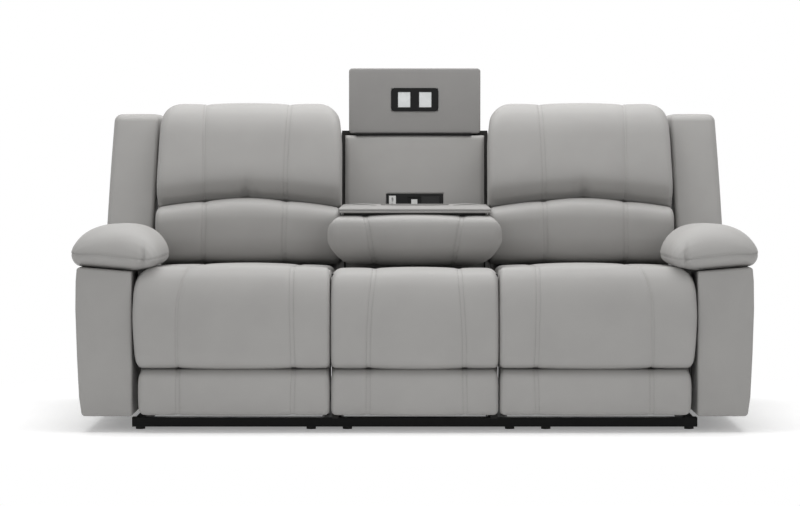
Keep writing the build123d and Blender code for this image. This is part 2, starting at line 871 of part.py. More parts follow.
def recess_y(z, behind=0.0):
    # Y of the recess panel's leaning face at a height, or of a face parallel to it.
    return recess_front_y + (z - recess_reference_z) * recess_tan + behind


power_plane = Plane(
    origin=(0, recess_y(power_centre_z), power_centre_z),
    x_dir=across,
    z_dir=(0, -cos(radians(recess_lean)), sin(radians(recess_lean))),
)
post_front = recess_panel_thickness
leaf = 1.5
light_hinge_z = recess_panel_top + light_hinge_radius
light_bottom = light_hinge_z + light_hinge_radius
light_front = light_hinge_y + 4.0
light_rear = light_front + light_panel_thickness
middle_post_y = light_rear + 3.0


def power_box(depth_front, depth_back, width, height, mode=Mode.ADD, x=0.0, lift=0.0):
    # Cuboid on the recess face, from depth_back behind it to depth_front before it.
    with BuildSketch(power_plane.offset(-depth_back)) as outline:
        with Locations((x, lift)):
            Rectangle(width, height)
    extrude(outline.sketch, amount=depth_front + depth_back, mode=mode)


def middle_back():
    outer, inner = middle_back_half, middle_back_half - middle_post_width
    post = [
        (recess_y(recess_panel_bottom, post_front), recess_panel_bottom),
        (recess_y(recess_panel_top, post_front), recess_panel_top),
        (middle_post_y, recess_panel_top),
        (middle_post_y, middle_back_top),
        (middle_back_rear, middle_back_top),
        (middle_back_rear, rail_top),
        (rear_rail_y, rail_top),
        (rear_rail_y, recess_panel_bottom - 40),
    ]
    rails = ((rail_top + 30, rail_top + 90), (middle_back_top - 60, middle_back_top))
    with BuildPart() as frame:
        for low in (inner, -outer):
            side_profile(post, low, middle_post_width)
        for low, high in rails:
            block((-inner + weld_gap, inner - weld_gap), (rear_rail_y + 8, middle_back_rear), (low, high))
    save("middle_back_frame", frame)

    panel_outline = [
        (recess_y(recess_panel_bottom), recess_panel_bottom),
        (recess_y(recess_panel_top), recess_panel_top),
        (recess_y(recess_panel_top, post_front - weld_gap), recess_panel_top),
        (recess_y(recess_panel_bottom, post_front - weld_gap), recess_panel_bottom),
    ]
    with BuildPart() as panel:
        side_profile(panel_outline, -recess_panel_half, 2 * recess_panel_half)
        power_box(20, 60, power_width - 8, power_height - 8, Mode.SUBTRACT)
        lining_front = console_pivot[0] + bracket_foot + weld_gap
        block(
            (-middle_back_half, middle_back_half),
            (lining_front, lining_front + lining_thickness),
            (lining_bottom, lining_top),
        )
    save("recess_panel", panel)

    with BuildPart() as cover:
        block(
            (-middle_back_half, middle_back_half),
            (middle_back_rear, middle_back_rear + rear_cover_thickness),
            (arm_bottom, middle_back_top),
        )
        fillet(cover.edges().group_by(Axis.Y)[-1], rear_cover_thickness * 0.6)
        with Locations((0, middle_back_rear, 150)):
            Box(58, 60, 44, mode=Mode.SUBTRACT)
    save("middle_rear_cover", cover)

    with BuildPart() as inlet:
        with Locations((0, middle_back_rear + rear_cover_thickness / 2, 150)):
            Box(57, rear_cover_thickness + 3, 43)
            Box(30, rear_cover_thickness + 3.2, 20, mode=Mode.SUBTRACT)
        with Locations((0, middle_back_rear - 6, 150)):
            Box(57, 9, 43)
    save("power_inlet", inlet)


# ---- Power unit ----
port_x, port_width = -76.7, 23.4
port_height = 46.0
socket_depth = 5.0
switch_x, switch_width, switch_height = -1.4, 21.0, 34.0
pocket_width, pocket_height = 46.0, 44.0
blank_x, blank_width, blank_height = 54.0, 62.0, 44.0
window_lift = 2.0
switch_depth = 12.0


def power_unit():
    with BuildPart() as housing:
        power_box(power_proud, 0, power_width, power_height)
        power_box(0, power_depth, power_width - 9, power_height - 9)
        power_box(power_proud, 18, port_width + 1, port_height + 1, Mode.SUBTRACT, port_x, window_lift)
        power_box(power_proud, 5, blank_width + 1, blank_height + 1, Mode.SUBTRACT, blank_x, window_lift)
        power_box(power_proud, 3, pocket_width, pocket_height, Mode.SUBTRACT, switch_x, window_lift - 3)
        power_box(
            0, switch_depth + 4, switch_width + 1, switch_height + 1, Mode.SUBTRACT, switch_x, window_lift - 6
        )
    save("power_housing", housing)

    with BuildPart() as port:
        power_box(power_proud, 18, port_width, port_height, x=port_x, lift=window_lift)
        for lift in (-10, 10):
            power_box(power_proud, socket_depth, 6, 13, Mode.SUBTRACT, port_x, window_lift + lift)
    save("power_ports", port)

    with BuildPart() as blank:
        power_box(power_proud - 1, 5, blank_width, blank_height, x=blank_x, lift=window_lift)
    save("power_blank_cover", blank)

    with BuildPart() as switch:
        power_box(2, switch_depth, switch_width, switch_height, x=switch_x, lift=window_lift - 6)
    save("light_switch", switch)
    normal = power_plane.z_dir
    print("switch axis", [round(-n, 4) for n in normal], "power plane", power_plane.origin)


# ---- Reading light panel ----
knuckle_starts = (-205.0, -125.0, -45.0, 35.0, 115.0)
knuckle_length = 79.5
hinge_wire = 1.3
hinge_bore = 1.6


def light_panel():
    lamp_z = light_bottom + lamp_bezel_above_panel_edge + lamp_bezel_height / 2
    with BuildPart() as panel:
        block(
            (-light_panel_half, light_panel_half),
            (light_front, light_rear),
            (light_bottom, light_bottom + light_panel_height),
        )
        fillet(panel.edges().filter_by(Axis.Y), 6)
        fillet(panel.edges().group_by(Axis.Y)[0], 3)
        with Locations((0, light_front, lamp_z)):
            Box(lamp_bezel_width - 10, 30, lamp_bezel_height - 10, mode=Mode.SUBTRACT)
    save("light_panel", panel)

    with BuildPart() as bezel:
        face_plane = Plane(origin=(0, light_front, lamp_z), x_dir=across, z_dir=(0, -1, 0))
        with BuildSketch(face_plane) as face:
            RectangleRounded(lamp_bezel_width, lamp_bezel_height, 14)
            with GridLocations(lamp_spacing, 1, 2, 1):
                Rectangle(lamp_width + 1, lamp_height + 1, mode=Mode.SUBTRACT)
        extrude(face.sketch, amount=3)
        with Locations((0, light_front + 6, lamp_z)):
            Box(lamp_bezel_width - 11, 12, lamp_bezel_height - 11)
        with Locations((0, light_front, lamp_z)):
            with GridLocations(lamp_spacing, 1, 2, 1):
                Box(lamp_width + 1, 12, lamp_height + 1, mode=Mode.SUBTRACT)
    save("lamp_bezel", bezel)

    with BuildPart() as lenses:
        with Locations((0, light_front + 2, lamp_z)):
            with GridLocations(lamp_spacing, 1, 2, 1):
                Box(lamp_width, 8 - weld_gap, lamp_height)
    save("lamp_lenses", lenses)

    axis = (light_hinge_y, light_hinge_z)
    with BuildPart() as fixed_leaf:
        block((-205, 195), (light_hinge_y, middle_post_y - 4), (recess_panel_top, recess_panel_top + leaf))
        for start in knuckle_starts[::2]:
            rod(axis, light_hinge_radius, start, knuckle_length)
        for start in knuckle_starts[1::2]:
            rod(axis, light_hinge_radius + link_gap, start - link_gap, knuckle_length + 1, Mode.SUBTRACT)
        rod(axis, hinge_wire, knuckle_starts[0], knuckle_starts[-1] + knuckle_length - knuckle_starts[0])
    save("light_hinge_fixed_leaf", fixed_leaf)

    with BuildPart() as moving_leaf:
        block((-205, 195), (light_hinge_y, light_rear - 3), (light_bottom - leaf, light_bottom))
        for start in knuckle_starts[1::2]:
            rod(axis, light_hinge_radius, start, knuckle_length)
        for start in knuckle_starts[::2]:
            rod(axis, light_hinge_radius + link_gap, start - link_gap, knuckle_length + 1, Mode.SUBTRACT)
        rod(axis, hinge_bore, knuckle_starts[0] - 5, 420, Mode.SUBTRACT)
    save("light_hinge_moving_leaf", moving_leaf)
    print("light hinge", axis)


# ---- Console ----
console_seam_x = 155.0
hinge_relief = 120.0
arm_plate = 5.0
bracket_x = console_board_half + arm_plate + 1
bracket_foot = 28.0         # bracket before and behind its pivot
console_channel_drop = 6.0


def console_pad():
    # Puffy pad under the table: rounded front with channels, waisted below.
    stations = (
        (0.0, 0.82, 0.90), (0.06, 0.88, 0.945), (0.2, 0.955, 0.985), (0.5, 1.0, 1.0),
        (0.8, 0.985, 0.992), (0.94, 0.965, 0.97), (1.0, 0.95, 0.945),
    )
    run = console_rear - console_front
    sections = []
    for t, wide, long in stations:
        edges = [-console_half * wide, -console_seam_x, console_seam_x, console_half * wide]
        plane = Plane(
            origin=(0, console_rear, console_bottom + (console_pad_top - console_bottom) * t),
            x_dir=across,
            z_dir=(0, 0, -1),
        )
        sections.append(channels(plane, edges, run * long, console_channel_drop, 34.0))
    with BuildPart() as pad:
        loft(sections=sections)
        with BuildSketch(Plane.YZ.offset(-console_half - 5)) as corner:
            with Locations((console_pivot[0] + 60, console_pivot[1] - 60)):
                Rectangle(120, 120)
            with Locations(console_pivot):
                Circle(console_corner_radius, mode=Mode.SUBTRACT)
        extrude(corner.sketch, amount=2 * console_half + 10, mode=Mode.SUBTRACT)
        for x in (console_board_half - 1, -console_half - 5):
            rod(console_pivot, hinge_relief, x, console_half + 6 - console_board_half, Mode.SUBTRACT)
        board = console_board_half + soft_clear
        block(
            (-board, board),
            (console_board_front - soft_clear, console_rear + 5),
            (console_board_low - soft_clear, console_pad_top + 5),
            Mode.SUBTRACT,
        )
        for side in (-1, 1):
            cup_hole(side, cup_radius + cup_wall + soft_clear)
    save("console_pad", pad)


def cup_hole(side, radius):
    with Locations((side * cup_x, cup_y, table_top)):
        Cylinder(radius, 2 * (cup_depth + cup_wall + soft_clear), mode=Mode.SUBTRACT)


def console_board():
    with BuildPart() as board:
        block(
            (-console_board_half, console_board_half),
            (console_board_front, console_board_rear),
            (console_board_low, table_top - table_thickness),
        )
        block(
            (-tray_half - 4.5, tray_half + 4.5),
            (tray_front - 4.5, tray_rear + 4.5),
            (table_top - tray_depth - 4.2, table_top),
            Mode.SUBTRACT,
        )
        for side in (-1, 1):
            cup_hole(side, cup_radius + cup_wall + soft_clear)
    save("console_board", board)


def console_table():
    # Table slab with a sunk tray along its middle.
    pan = 4.0
    with BuildPart() as table:
        block(
            (-table_half, table_half),
            (console_front + 6, console_rear - 4),
            (table_top - table_thickness, table_top),
        )
        fillet(table.edges().filter_by(Axis.Z), 16)
        fillet(table.edges().group_by(Axis.Z)[-1], 4)
        block(
            (-tray_half - pan, tray_half + pan),
            (tray_front - pan, tray_rear + pan),
            (table_top - tray_depth - pan, table_top - table_thickness),
        )
        block(
            (-tray_half, tray_half),
            (tray_front, tray_rear),
            (table_top - tray_depth, table_top + 1),
            Mode.SUBTRACT,
        )
        for side in (-1, 1):
            with Locations((side * cup_x, cup_y, table_top)):
                Cylinder(cup_radius + cup_wall + 0.1, 4 * table_thickness, mode=Mode.SUBTRACT)
    save("console_table", table)


def cup_liners():
    rim = 4.0
    low = table_top - cup_depth - cup_wall
    with BuildPart() as liners:
        for side in (-1, 1):
            with BuildSketch(Plane.XY.offset(low)) as wall:
                with Locations((side * cup_x, cup_y)):
                    Circle(cup_radius + cup_wall)
            extrude(wall.sketch, amount=cup_depth + cup_wall)
            with BuildSketch(Plane.XY.offset(table_top)) as lip:
                with Locations((side * cup_x, cup_y)):
                    Circle(cup_radius + cup_wall + rim)
            extrude(lip.sketch, amount=1.5)
            with BuildSketch(Plane.XY.offset(low + cup_wall)) as bore:
                with Locations((side * cup_x, cup_y)):
                    Circle(cup_radius)
            extrude(bore.sketch, amount=cup_depth + 5, mode=Mode.SUBTRACT)
    save("cup_liners", liners)


def console_hinge():
    ear = 18.0
    y, z = console_pivot
    arm_outline = [
        (y - ear, z - 6), (y - 6, z - ear), (y + 6, z - ear), (y + ear, z - 6),
        (y + 40, table_top - table_thickness - 2), (y - 60, table_top - table_thickness - 2),
        (y - 60, console_board_low),
    ]
    with BuildPart() as arms:
        for side in (-1, 1):
            low = console_board_half if side > 0 else -console_board_half - arm_plate
            side_profile(arm_outline, low, arm_plate)
            pin = console_board_half if side > 0 else -bracket_x - arm_plate
            rod(console_pivot, hinge_pin_radius, pin, 2 * arm_plate + 1)
    save("console_hinge_arms", arms)

    foot = [
        (0.0, frame_rail_bottom), (y + bracket_foot, frame_rail_bottom), (y + bracket_foot, z - 40),
        (y + ear, z - 4), (y + 6, z + ear), (y - 6, z + ear), (y - ear, z - 4),
        (y - bracket_foot, z - 40), (y - bracket_foot, frame_rail_top - 4), (0.0, frame_rail_top - 4),
    ]
    with BuildPart() as brackets:
        for side in (-1, 1):
            low = bracket_x if side > 0 else -bracket_x - arm_plate
            side_profile(foot, low, arm_plate)
            rod(console_pivot, hinge_pin_radius + pin_clear, low, arm_plate, Mode.SUBTRACT)
    save("console_hinge_brackets", brackets)


base()
arm_body()
arm_frame()
arm_pad()
wing()
handle_bezels()
release_handle()
outer_seat_frame()
middle_seat_frame()
springs()
seat_cushions()
middle_front_pads()
mechanism_plates()
rear_links()
front_links()
footrest()
back_frame()
lumbar_pad()
head_pad()
back_cover()
middle_back()
power_unit()
light_panel()
console_pad()
console_board()
console_table()
cup_liners()
console_hinge()
print("link elbow", [round(v, 2) for v in link_elbow], "foot pivot", foot_pivot)
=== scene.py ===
import math

import bmesh
import bpy
import numpy as np
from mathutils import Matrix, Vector


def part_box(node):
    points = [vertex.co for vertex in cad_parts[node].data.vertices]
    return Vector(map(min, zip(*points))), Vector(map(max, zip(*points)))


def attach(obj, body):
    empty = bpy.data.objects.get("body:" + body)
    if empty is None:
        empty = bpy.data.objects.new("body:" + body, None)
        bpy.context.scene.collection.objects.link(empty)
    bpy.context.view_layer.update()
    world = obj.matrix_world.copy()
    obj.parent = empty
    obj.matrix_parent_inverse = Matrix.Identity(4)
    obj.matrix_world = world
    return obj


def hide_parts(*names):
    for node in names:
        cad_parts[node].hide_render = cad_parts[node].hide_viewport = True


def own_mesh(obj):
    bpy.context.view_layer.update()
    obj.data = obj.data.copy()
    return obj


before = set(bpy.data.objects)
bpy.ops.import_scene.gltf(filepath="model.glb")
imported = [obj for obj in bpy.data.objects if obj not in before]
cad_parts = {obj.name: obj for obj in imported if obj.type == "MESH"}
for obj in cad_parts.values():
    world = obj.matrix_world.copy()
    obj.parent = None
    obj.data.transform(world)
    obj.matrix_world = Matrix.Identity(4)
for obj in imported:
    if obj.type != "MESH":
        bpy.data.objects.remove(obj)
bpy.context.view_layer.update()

mm = 0.001


# Smooth curve through the rows of a table, read at the row positions t.
def throughRows(table, t):
    table = np.asarray(table, float)
    last = len(table) - 1
    i = np.clip(np.floor(t).astype(int), 0, last - 1)
    f = (t - i)[:, None]
    p1, p2 = table[i], table[i + 1]
    p0 = np.where((i > 0)[:, None], table[np.maximum(i - 1, 0)], 2 * p1 - p2)
    p3 = np.where((i < last - 1)[:, None], table[np.minimum(i + 2, last)], 2 * p2 - p1)
    return 0.5 * (
        2 * p1 + (p2 - p0) * f + (2 * p0 - 5 * p1 + 4 * p2 - p3) * f**2 + (3 * p1 - p0 - 3 * p2 + p3) * f**3
    )


def smooth(low, high, x):
    t = np.clip((x - low) / (high - low), 0, 1)
    return t * t * (3 - 2 * t)


def roundOff(distance, radius):       # how far a rolled edge falls, at a distance in from it
    inside = np.clip(radius - distance, 0, radius)
    return radius - np.sqrt(np.maximum(radius**2 - inside**2, 0))


def addObject(name, data):
    added = bpy.data.objects.new(name, data)
    bpy.context.scene.collection.objects.link(added)
    return added


def makeObject(name, points, faces, sharp=55):
    mesh = bpy.data.meshes.new(name)
    mesh.from_pydata([tuple(p) for p in np.asarray(points) * mm], [], faces)
    shaped = bmesh.new()
    shaped.from_mesh(mesh)
    bmesh.ops.remove_doubles(shaped, verts=shaped.verts, dist=2e-6)
    bmesh.ops.recalc_face_normals(shaped, faces=shaped.faces)
    shaped.to_mesh(mesh)
    shaped.free()
    mesh.shade_smooth()
    mesh.set_sharp_from_angle(angle=math.radians(sharp))
    return addObject(name, mesh)


def gridFaces(first, rows, columns, wrap=False):
    faces = []
    for i in range(rows - 1):
        for j in range(columns if wrap else columns - 1):
            k = (j + 1) % columns
            faces.append((first + i * columns + j, first + i * columns + k,
                          first + (i + 1) * columns + k, first + (i + 1) * columns + j))
    return faces


def mirrored(piece, name):
    mesh = piece.data.copy()
    mesh.name = name
    for v in mesh.vertices:
        v.co.x = -v.co.x
    mesh.flip_normals()
    return addObject(name, mesh)


def cutAway(piece, cutter):
    cut = piece.modifiers.new("cut", "BOOLEAN")
    cut.operation, cut.object, cut.solver = "DIFFERENCE", cutter, "EXACT"
    bpy.context.view_layer.update()
    graph = bpy.context.evaluated_depsgraph_get()
    mesh = bpy.data.meshes.new_from_object(piece.evaluated_get(graph))
    piece.modifiers.clear()
    piece.data = mesh
    bpy.data.objects.remove(cutter)


def blockBetween(name, x, y, z):
    corners = [(x[i], y[j], z[k]) for i in (0, 1) for j in (0, 1) for k in (0, 1)]
    faces = [(0, 1, 3, 2), (4, 6, 7, 5), (0, 4, 5, 1), (2, 3, 7, 6), (0, 2, 6, 4), (1, 5, 7, 3)]
    return makeObject(name, corners, faces, sharp=30)


# How far in from a pad's side edges, and from its seams, the first mesh columns lie.
edgeColumns = (0.0, 0.4, 1.2, 2.4, 4.0, 6.5, 9.5, 13.5, 18.5, 24.5, 31.0)
seamColumns = (0.0, 1.6, 3.2, 4.6, 6.0, 7.4, 9.0, 12.0, 17.0, 25.0)
needle = 6.0            # from a seam to the rows of stitches beside it
openSpacing = 15.0      # of the mesh columns over the middle of a channel
sideShare = 0.45        # of a narrow channel, at most, for the columns beside each seam
puffPower = 0.8         # under 1, channels are rounder than an arch
dipHalf = 11.0          # of the hollow that a seam pulls in the padding
doubleGroove = 1.7      # half width of the groove under a row beside the seam
singleGroove = dict(half=2.0, deeper=1.3)
mostSunk = 0.96         # share of its thickness that a face may sink


# Even steps along a pad's section: face and back points, side roll, edge and seam lines, run.
def padSection(cut):
    table = np.array(cut["rows"], float)
    dense = np.linspace(0, len(table) - 1, 600)
    curve = throughRows(table[:, :2], dense)
    length = np.concatenate([[0], np.cumsum(np.hypot(*np.diff(curve, axis=0).T))])
    run = np.linspace(0, length[-1], cut["samples"])
    along = np.interp(run, length, dense)
    column = [np.interp(along, np.arange(len(table)), table[:, k]) for k in (2, 3, 4)]
    face, knots = throughRows(table[:, :2], along), throughRows(table[:, 5:], along)
    return face, np.stack(column[:2], 1), column[2], knots, run


def outwardOf(face, back):       # unit normals of a section's face, away from its back
    tangent = np.gradient(face, axis=0)
    normal = np.stack([tangent[:, 1], -tangent[:, 0]], 1)
    normal /= np.linalg.norm(normal, axis=1)[:, None]
    return -normal if ((face - back) * normal).sum() < 0 else normal


# Mesh columns across a pad: their places, their share across their channel, that channel's width
# beside the widest one, and which columns carry the stitches after and before each seam.
def padColumns(knots):
    seams = knots.shape[1] - 2
    widest = max(np.median(knots[:, k + 1] - knots[:, k]) for k in range(seams + 1))
    stitched = seamColumns.index(needle)
    places, shares, widths, marks = [], [], [], {}
    for c in range(seams + 1):
        left, right = knots[:, c], knots[:, c + 1]
        leftRun = np.array(edgeColumns if c == 0 else seamColumns)
        rightRun = np.array(edgeColumns if c == seams else seamColumns)
        width = np.median(right - left)
        squeeze = min(1.0, sideShare * width / max(leftRun[-1], rightRun[-1]))
        leftRun, rightRun = leftRun * squeeze, rightRun * squeeze
        between = max(1, int(round((width - leftRun[-1] - rightRun[-1]) / openSpacing)))
        middle = right - rightRun[-1] - left - leftRun[-1]
        lines = [left + d for d in leftRun]
        lines += [left + leftRun[-1] + middle * i / between for i in range(1, between)]
        lines += [right - d for d in rightRun[::-1]]
        for line in lines[1 if c else 0:]:
            places.append(line)
            shares.append((line - left) / (right - left))
            widths.append((right - left) / widest)
        if c > 0:
            marks[c] = len(places) - len(lines) + stitched
        if c < seams:
            marks[-(c + 1)] = len(places) - 1 - stitched
    return np.array(places), np.array(shares), np.array(widths), marks


# How far a pad's face stands proud of its section: rolled sides, puffed channels, sunk seams.
def padLift(cut, x, share, width, knots, roll, run):
    inward = np.minimum(x - knots[:, 0], knots[:, -1] - x)
    lift = -roundOff(np.maximum(inward, 0), roll[None, :])
    lift += cut["puff"] * width * np.maximum(1 - (2 * share - 1) ** 2, 0) ** puffPower
    for k, style in enumerate(cut["stitching"]):
        d = x - knots[:, k + 1]
        lift -= cut["dip"] * np.exp(-((d / dipHalf) ** 2))
        if style == "double":
            lift -= cut["groove"] * np.exp(-(((np.abs(d) - needle) / doubleGroove) ** 2))
        else:
            lift -= singleGroove["deeper"] * cut["groove"] * np.exp(-((d / singleGroove["half"]) ** 2))
    if "shape" in cut:
        lift += cut["shape"](x, run[None, :] + 0 * x, run[-1])
    return lift


def sheetNormals(sheet):
    normal = np.cross(np.gradient(sheet, axis=0), np.gradient(sheet, axis=1))
    return normal / (np.linalg.norm(normal, axis=2)[..., None] + 1e-12)


def upright(x, a, b):
    return x, a, b


# A pad with a shaped face over a back sheet. Each row gives the face and back points of its
# section, the roll of its side edges, and where its edges and seams lie across the pad.
def channelPad(name, cut, place):
    face, back, roll, knots, run = padSection(cut)
    normal = outwardOf(face, back)
    x, share, width, marks = padColumns(knots)
    thick = np.linalg.norm(face - back, axis=1)
    lift = np.maximum(padLift(cut, x, share, width, knots, roll, run), -mostSunk * thick[None, :])
    a = face[None, :, 0] + normal[None, :, 0] * lift
    b = face[None, :, 1] + normal[None, :, 1] * lift
    backA, backB = back[None, :, 0] + 0 * a, back[None, :, 1] + 0 * a
    if "warp" in cut:
        a, b = cut["warp"](x, a, b)
        backA, backB = cut["warp"](x, backA, backB)
    top = np.stack(place(x, a, b), -1)
    under = np.stack(place(x, backA, backB), -1)
    rows, samples = top.shape[:2]
    loops = np.concatenate([top, under[:, ::-1]], 1)
    faces = gridFaces(0, rows, 2 * samples, wrap=True)
    for first in (0, (rows - 1) * 2 * samples):
        last = first + 2 * samples - 1
        faces += [(first + j, first + j + 1, last - j - 1, last - j) for j in range(samples - 1)]
    piece = makeObject(name, loops.reshape(-1, 3), faces)
    outward = sheetNormals(top)
    if (outward * (top - under)).sum() < 0:
        outward = -outward
    lines = []
    for k, style in enumerate(cut["stitching"], 1):
        columns = (marks[k], marks[-k]) if style == "double" else (marks[k],)
        lines += [(top[m], outward[m]) for m in columns]
    return piece, lines


# Rows of short raised threads along lines that lie on a surface. A thread's profile gives shares
# of its length, and of its radius for its size and its height over the surface.
def stitches(name, lines, pitch=8.5, length=6.0, radius=0.55, sides=5):
    points, faces = [], []
    profile = ((0.0, 0.35, 0.165), (0.18, 1.0, 0.75), (0.82, 1.0, 0.75), (1.0, 0.35, 0.165))
    for line, outward in lines:
        gaps = np.linalg.norm(np.diff(line, axis=0), axis=1)
        run = np.concatenate([[0], np.cumsum(gaps)])
        for start in np.arange(pitch, run[-1] - pitch, pitch):
            foot, tip = [
                np.array([np.interp(at, run, line[:, k]) for k in range(3)]) for at in (start, start + length)
            ]
            up = np.array([np.interp(start, run, outward[:, k]) for k in range(3)])
            forward = tip - foot
            size = np.linalg.norm(forward)
            if size < 0.5 * length:
                continue
            forward /= size
            up -= forward * up.dot(forward)
            up /= np.linalg.norm(up) + 1e-9
            aside = np.cross(forward, up)
            first = len(points)
            for t, share, lift in profile:
                middle = foot + forward * size * t + up * radius * lift
                for i in range(sides):
                    angle = 2 * math.pi * i / sides
                    points.append(middle + radius * share * (math.cos(angle) * up + math.sin(angle) * aside))
            faces += gridFaces(first, len(profile), sides, wrap=True)
            last = first + (len(profile) - 1) * sides
            faces += [tuple(range(first, first + sides)), tuple(range(last, last + sides))]
    return makeObject(name, points, faces, sharp=80)


# Outline of a polygon whose corners are (p, q, radius), drawn in by an inset.
def roundedRing(corners, inset=0.0, steps=6):
    ring = []
    count = len(corners)
    for i, corner in enumerate(corners):
        p, q, radius = corner
        normals = []
        for (p0, q0, _), (p1, q1, _) in ((corners[i - 1], corner), (corner, corners[(i + 1) % count])):
            size = math.hypot(p1 - p0, q1 - q0)
            normals.append(((q1 - q0) / size, (p0 - p1) / size))
        (ax, ay), (bx, by) = normals
        share = 1 + ax * bx + ay * by
        if radius == 0:
            ring.append((p - inset * (ax + bx) / share, q - inset * (ay + by) / share))
            continue
        cp, cq = p - radius * (ax + bx) / share, q - radius * (ay + by) / share
        start = math.atan2(ay, ax)
        sweep = (math.atan2(by, bx) - start) % (2 * math.pi)
        for step in range(steps + 1):
            angle = start + sweep * step / steps
            size = max(radius - inset, 0.3)
            ring.append((cp + size * math.cos(angle), cq + size * math.sin(angle)))
    return np.array(ring)


def edgeSteps(radius, steps=5):        # (how far in, how far along) of a rounded edge
    angles = [math.pi / 2 * i / steps for i in range(steps + 1)]
    return [(radius * (1 - math.sin(a)), radius * (1 - math.cos(a))) for a in angles]


# A form lofted through rings at levels, with crowned ends.
def ringLoft(name, rings, place, crown=(0.0, 0.0), sharp=50):
    rings = [(level, np.asarray(ring)) for level, ring in rings]

    def capRings(level, ring, bulge):
        middle = ring.mean(0)
        return [(level + bulge * (1 - f * f), middle + (ring - middle) * f) for f in (0.9, 0.72, 0.5, 0.25)]

    ends = np.sign(rings[-1][0] - rings[0][0])
    rings = capRings(*rings[0], -ends * crown[0])[::-1] + rings + capRings(*rings[-1], ends * crown[1])
    count = len(rings[0][1])
    points = np.concatenate([
        np.stack(place(ring[:, 0], ring[:, 1], level + 0 * ring[:, 0]), -1) for level, ring in rings
    ])
    faces = gridFaces(0, len(rings), count, wrap=True)
    faces.append(tuple(range(count)))
    faces.append(tuple(range((len(rings) - 1) * count, len(rings) * count)))
    return makeObject(name, points, faces, sharp)


def alongZ(p, q, level):
    return p, q, level


def alongY(p, q, level):
    return p, level, q


def rectangle(p, q, radius):
    return [(p[1], q[0], radius), (p[1], q[1], radius), (p[0], q[1], radius), (p[0], q[0], radius)]


# Rings of a slab between two depths, with rounded front and rear edges.
def slabRings(outline, depths, edge, steps=(5, 5)):
    rings = [(depths[0] + d, roundedRing(outline, i)) for i, d in edgeSteps(edge, steps[0])]
    return rings + [(depths[1] - d, roundedRing(outline, i)) for i, d in edgeSteps(edge, steps[1])[::-1]]


# An upright cushion panel between two depths.
def uprightPanel(name, cut):
    outline = rectangle((-cut["half"], cut["half"]), cut["heights"], cut["corner"])
    rings = slabRings(outline, cut["depths"], cut["edge"])
    return ringLoft(name, rings, alongY, cut.get("crown", (0.0, 0.0)))


# Sets or links a node's sockets; a key such as i0 is a socket's number.
def fillSockets(tree, node, sockets):
    for key, value in sockets.items():
        target = node.inputs[int(key[1:])] if key[0] == "i" and key[1:].isdigit() else node.inputs[key]
        if isinstance(value, bpy.types.NodeSocket):
            tree.links.new(value, target)
        else:
            target.default_value = value


def addNode(tree, kind, settings=(), **sockets):
    node = tree.nodes.new(kind)
    for key, value in dict(settings).items():
        setattr(node, key, value)
    fillSockets(tree, node, sockets)
    return node


def mathNode(tree, operation, first, second):
    return addNode(tree, "ShaderNodeMath", {"operation": operation}, i0=first, i1=second).outputs[0]


def remap(tree, value, side, span, blend="LINEAR"):       # side is what the span is of, From or To
    node = addNode(tree, "ShaderNodeMapRange", {"interpolation_type": blend}, Value=value)
    fillSockets(tree, node, {f"{side} Min": span[0], f"{side} Max": span[1]})
    return node.outputs[0]


# A group for a finish's grain, with its settings as inputs, and the object's coordinates in it.
def grainGroup(name, settings, mask):
    group = bpy.data.node_groups.new(name, "ShaderNodeTree")
    for label, value in settings.items():
        socket = group.interface.new_socket(label, in_out="INPUT", socket_type="NodeSocketFloat")
        socket.default_value = value
    for label in ("Height", mask):
        group.interface.new_socket(label, in_out="OUTPUT", socket_type="NodeSocketFloat")
    place = addNode(group, "ShaderNodeTexCoord").outputs["Object"]
    return group, group.nodes.new("NodeGroupInput").outputs, place


def closeGroup(group, height, mask):
    out = group.nodes.new("NodeGroupOutput")
    group.links.new(height, out.inputs[0])
    group.links.new(mask, out.inputs[1])


# Pebbled skin of coated upholstery: a height and a slow mottle.
hideGrain, setting, place = grainGroup("hideGrain", {"Pebble Scale": 700.0, "Mottle Scale": 7.0}, "Mottle")
pebbles = addNode(hideGrain, "ShaderNodeTexVoronoi", {"feature": "SMOOTH_F1"},
                  Vector=place, Scale=setting["Pebble Scale"], Smoothness=0.6)
creases = addNode(hideGrain, "ShaderNodeTexNoise", Vector=place, Scale=160.0, Detail=3.0, Roughness=0.6)
blotches = addNode(hideGrain, "ShaderNodeTexNoise", Vector=place, Scale=setting["Mottle Scale"], Detail=4.0)
pebbled = mathNode(hideGrain, "MULTIPLY", pebbles.outputs["Distance"], 0.6)
creased = mathNode(hideGrain, "MULTIPLY", creases.outputs[0], 0.5)
closeGroup(hideGrain, mathNode(hideGrain, "ADD", pebbled, creased), blotches.outputs[0])

# Fine texture of moulded plastic and powder coat.
mouldGrain, setting, place = grainGroup("mouldGrain", {"Grain Scale": 1800.0, "Wear Scale": 30.0}, "Wear")
speckle = addNode(mouldGrain, "ShaderNodeTexNoise", Vector=place, Scale=setting["Grain Scale"], Detail=2.0)
rubbing = addNode(mouldGrain, "ShaderNodeTexNoise", Vector=place, Scale=setting["Wear Scale"], Detail=5.0)
closeGroup(mouldGrain, speckle.outputs[0], rubbing.outputs[0])

# Woven backing cloth, crossed threads.
weaveGrain, setting, place = grainGroup("weaveGrain", {"Threads": 900.0}, "Mottle")
warp, weft = [
    addNode(weaveGrain, "ShaderNodeTexWave", {"bands_direction": axis}, Vector=place,
            Scale=setting["Threads"], Distortion=0.6).outputs["Fac"]
    for axis in ("X", "Z")
]
slubs = addNode(weaveGrain, "ShaderNodeTexNoise", Vector=place, Scale=60.0, Detail=4.0)
closeGroup(weaveGrain, mathNode(weaveGrain, "MULTIPLY", warp, weft), slubs.outputs[0])

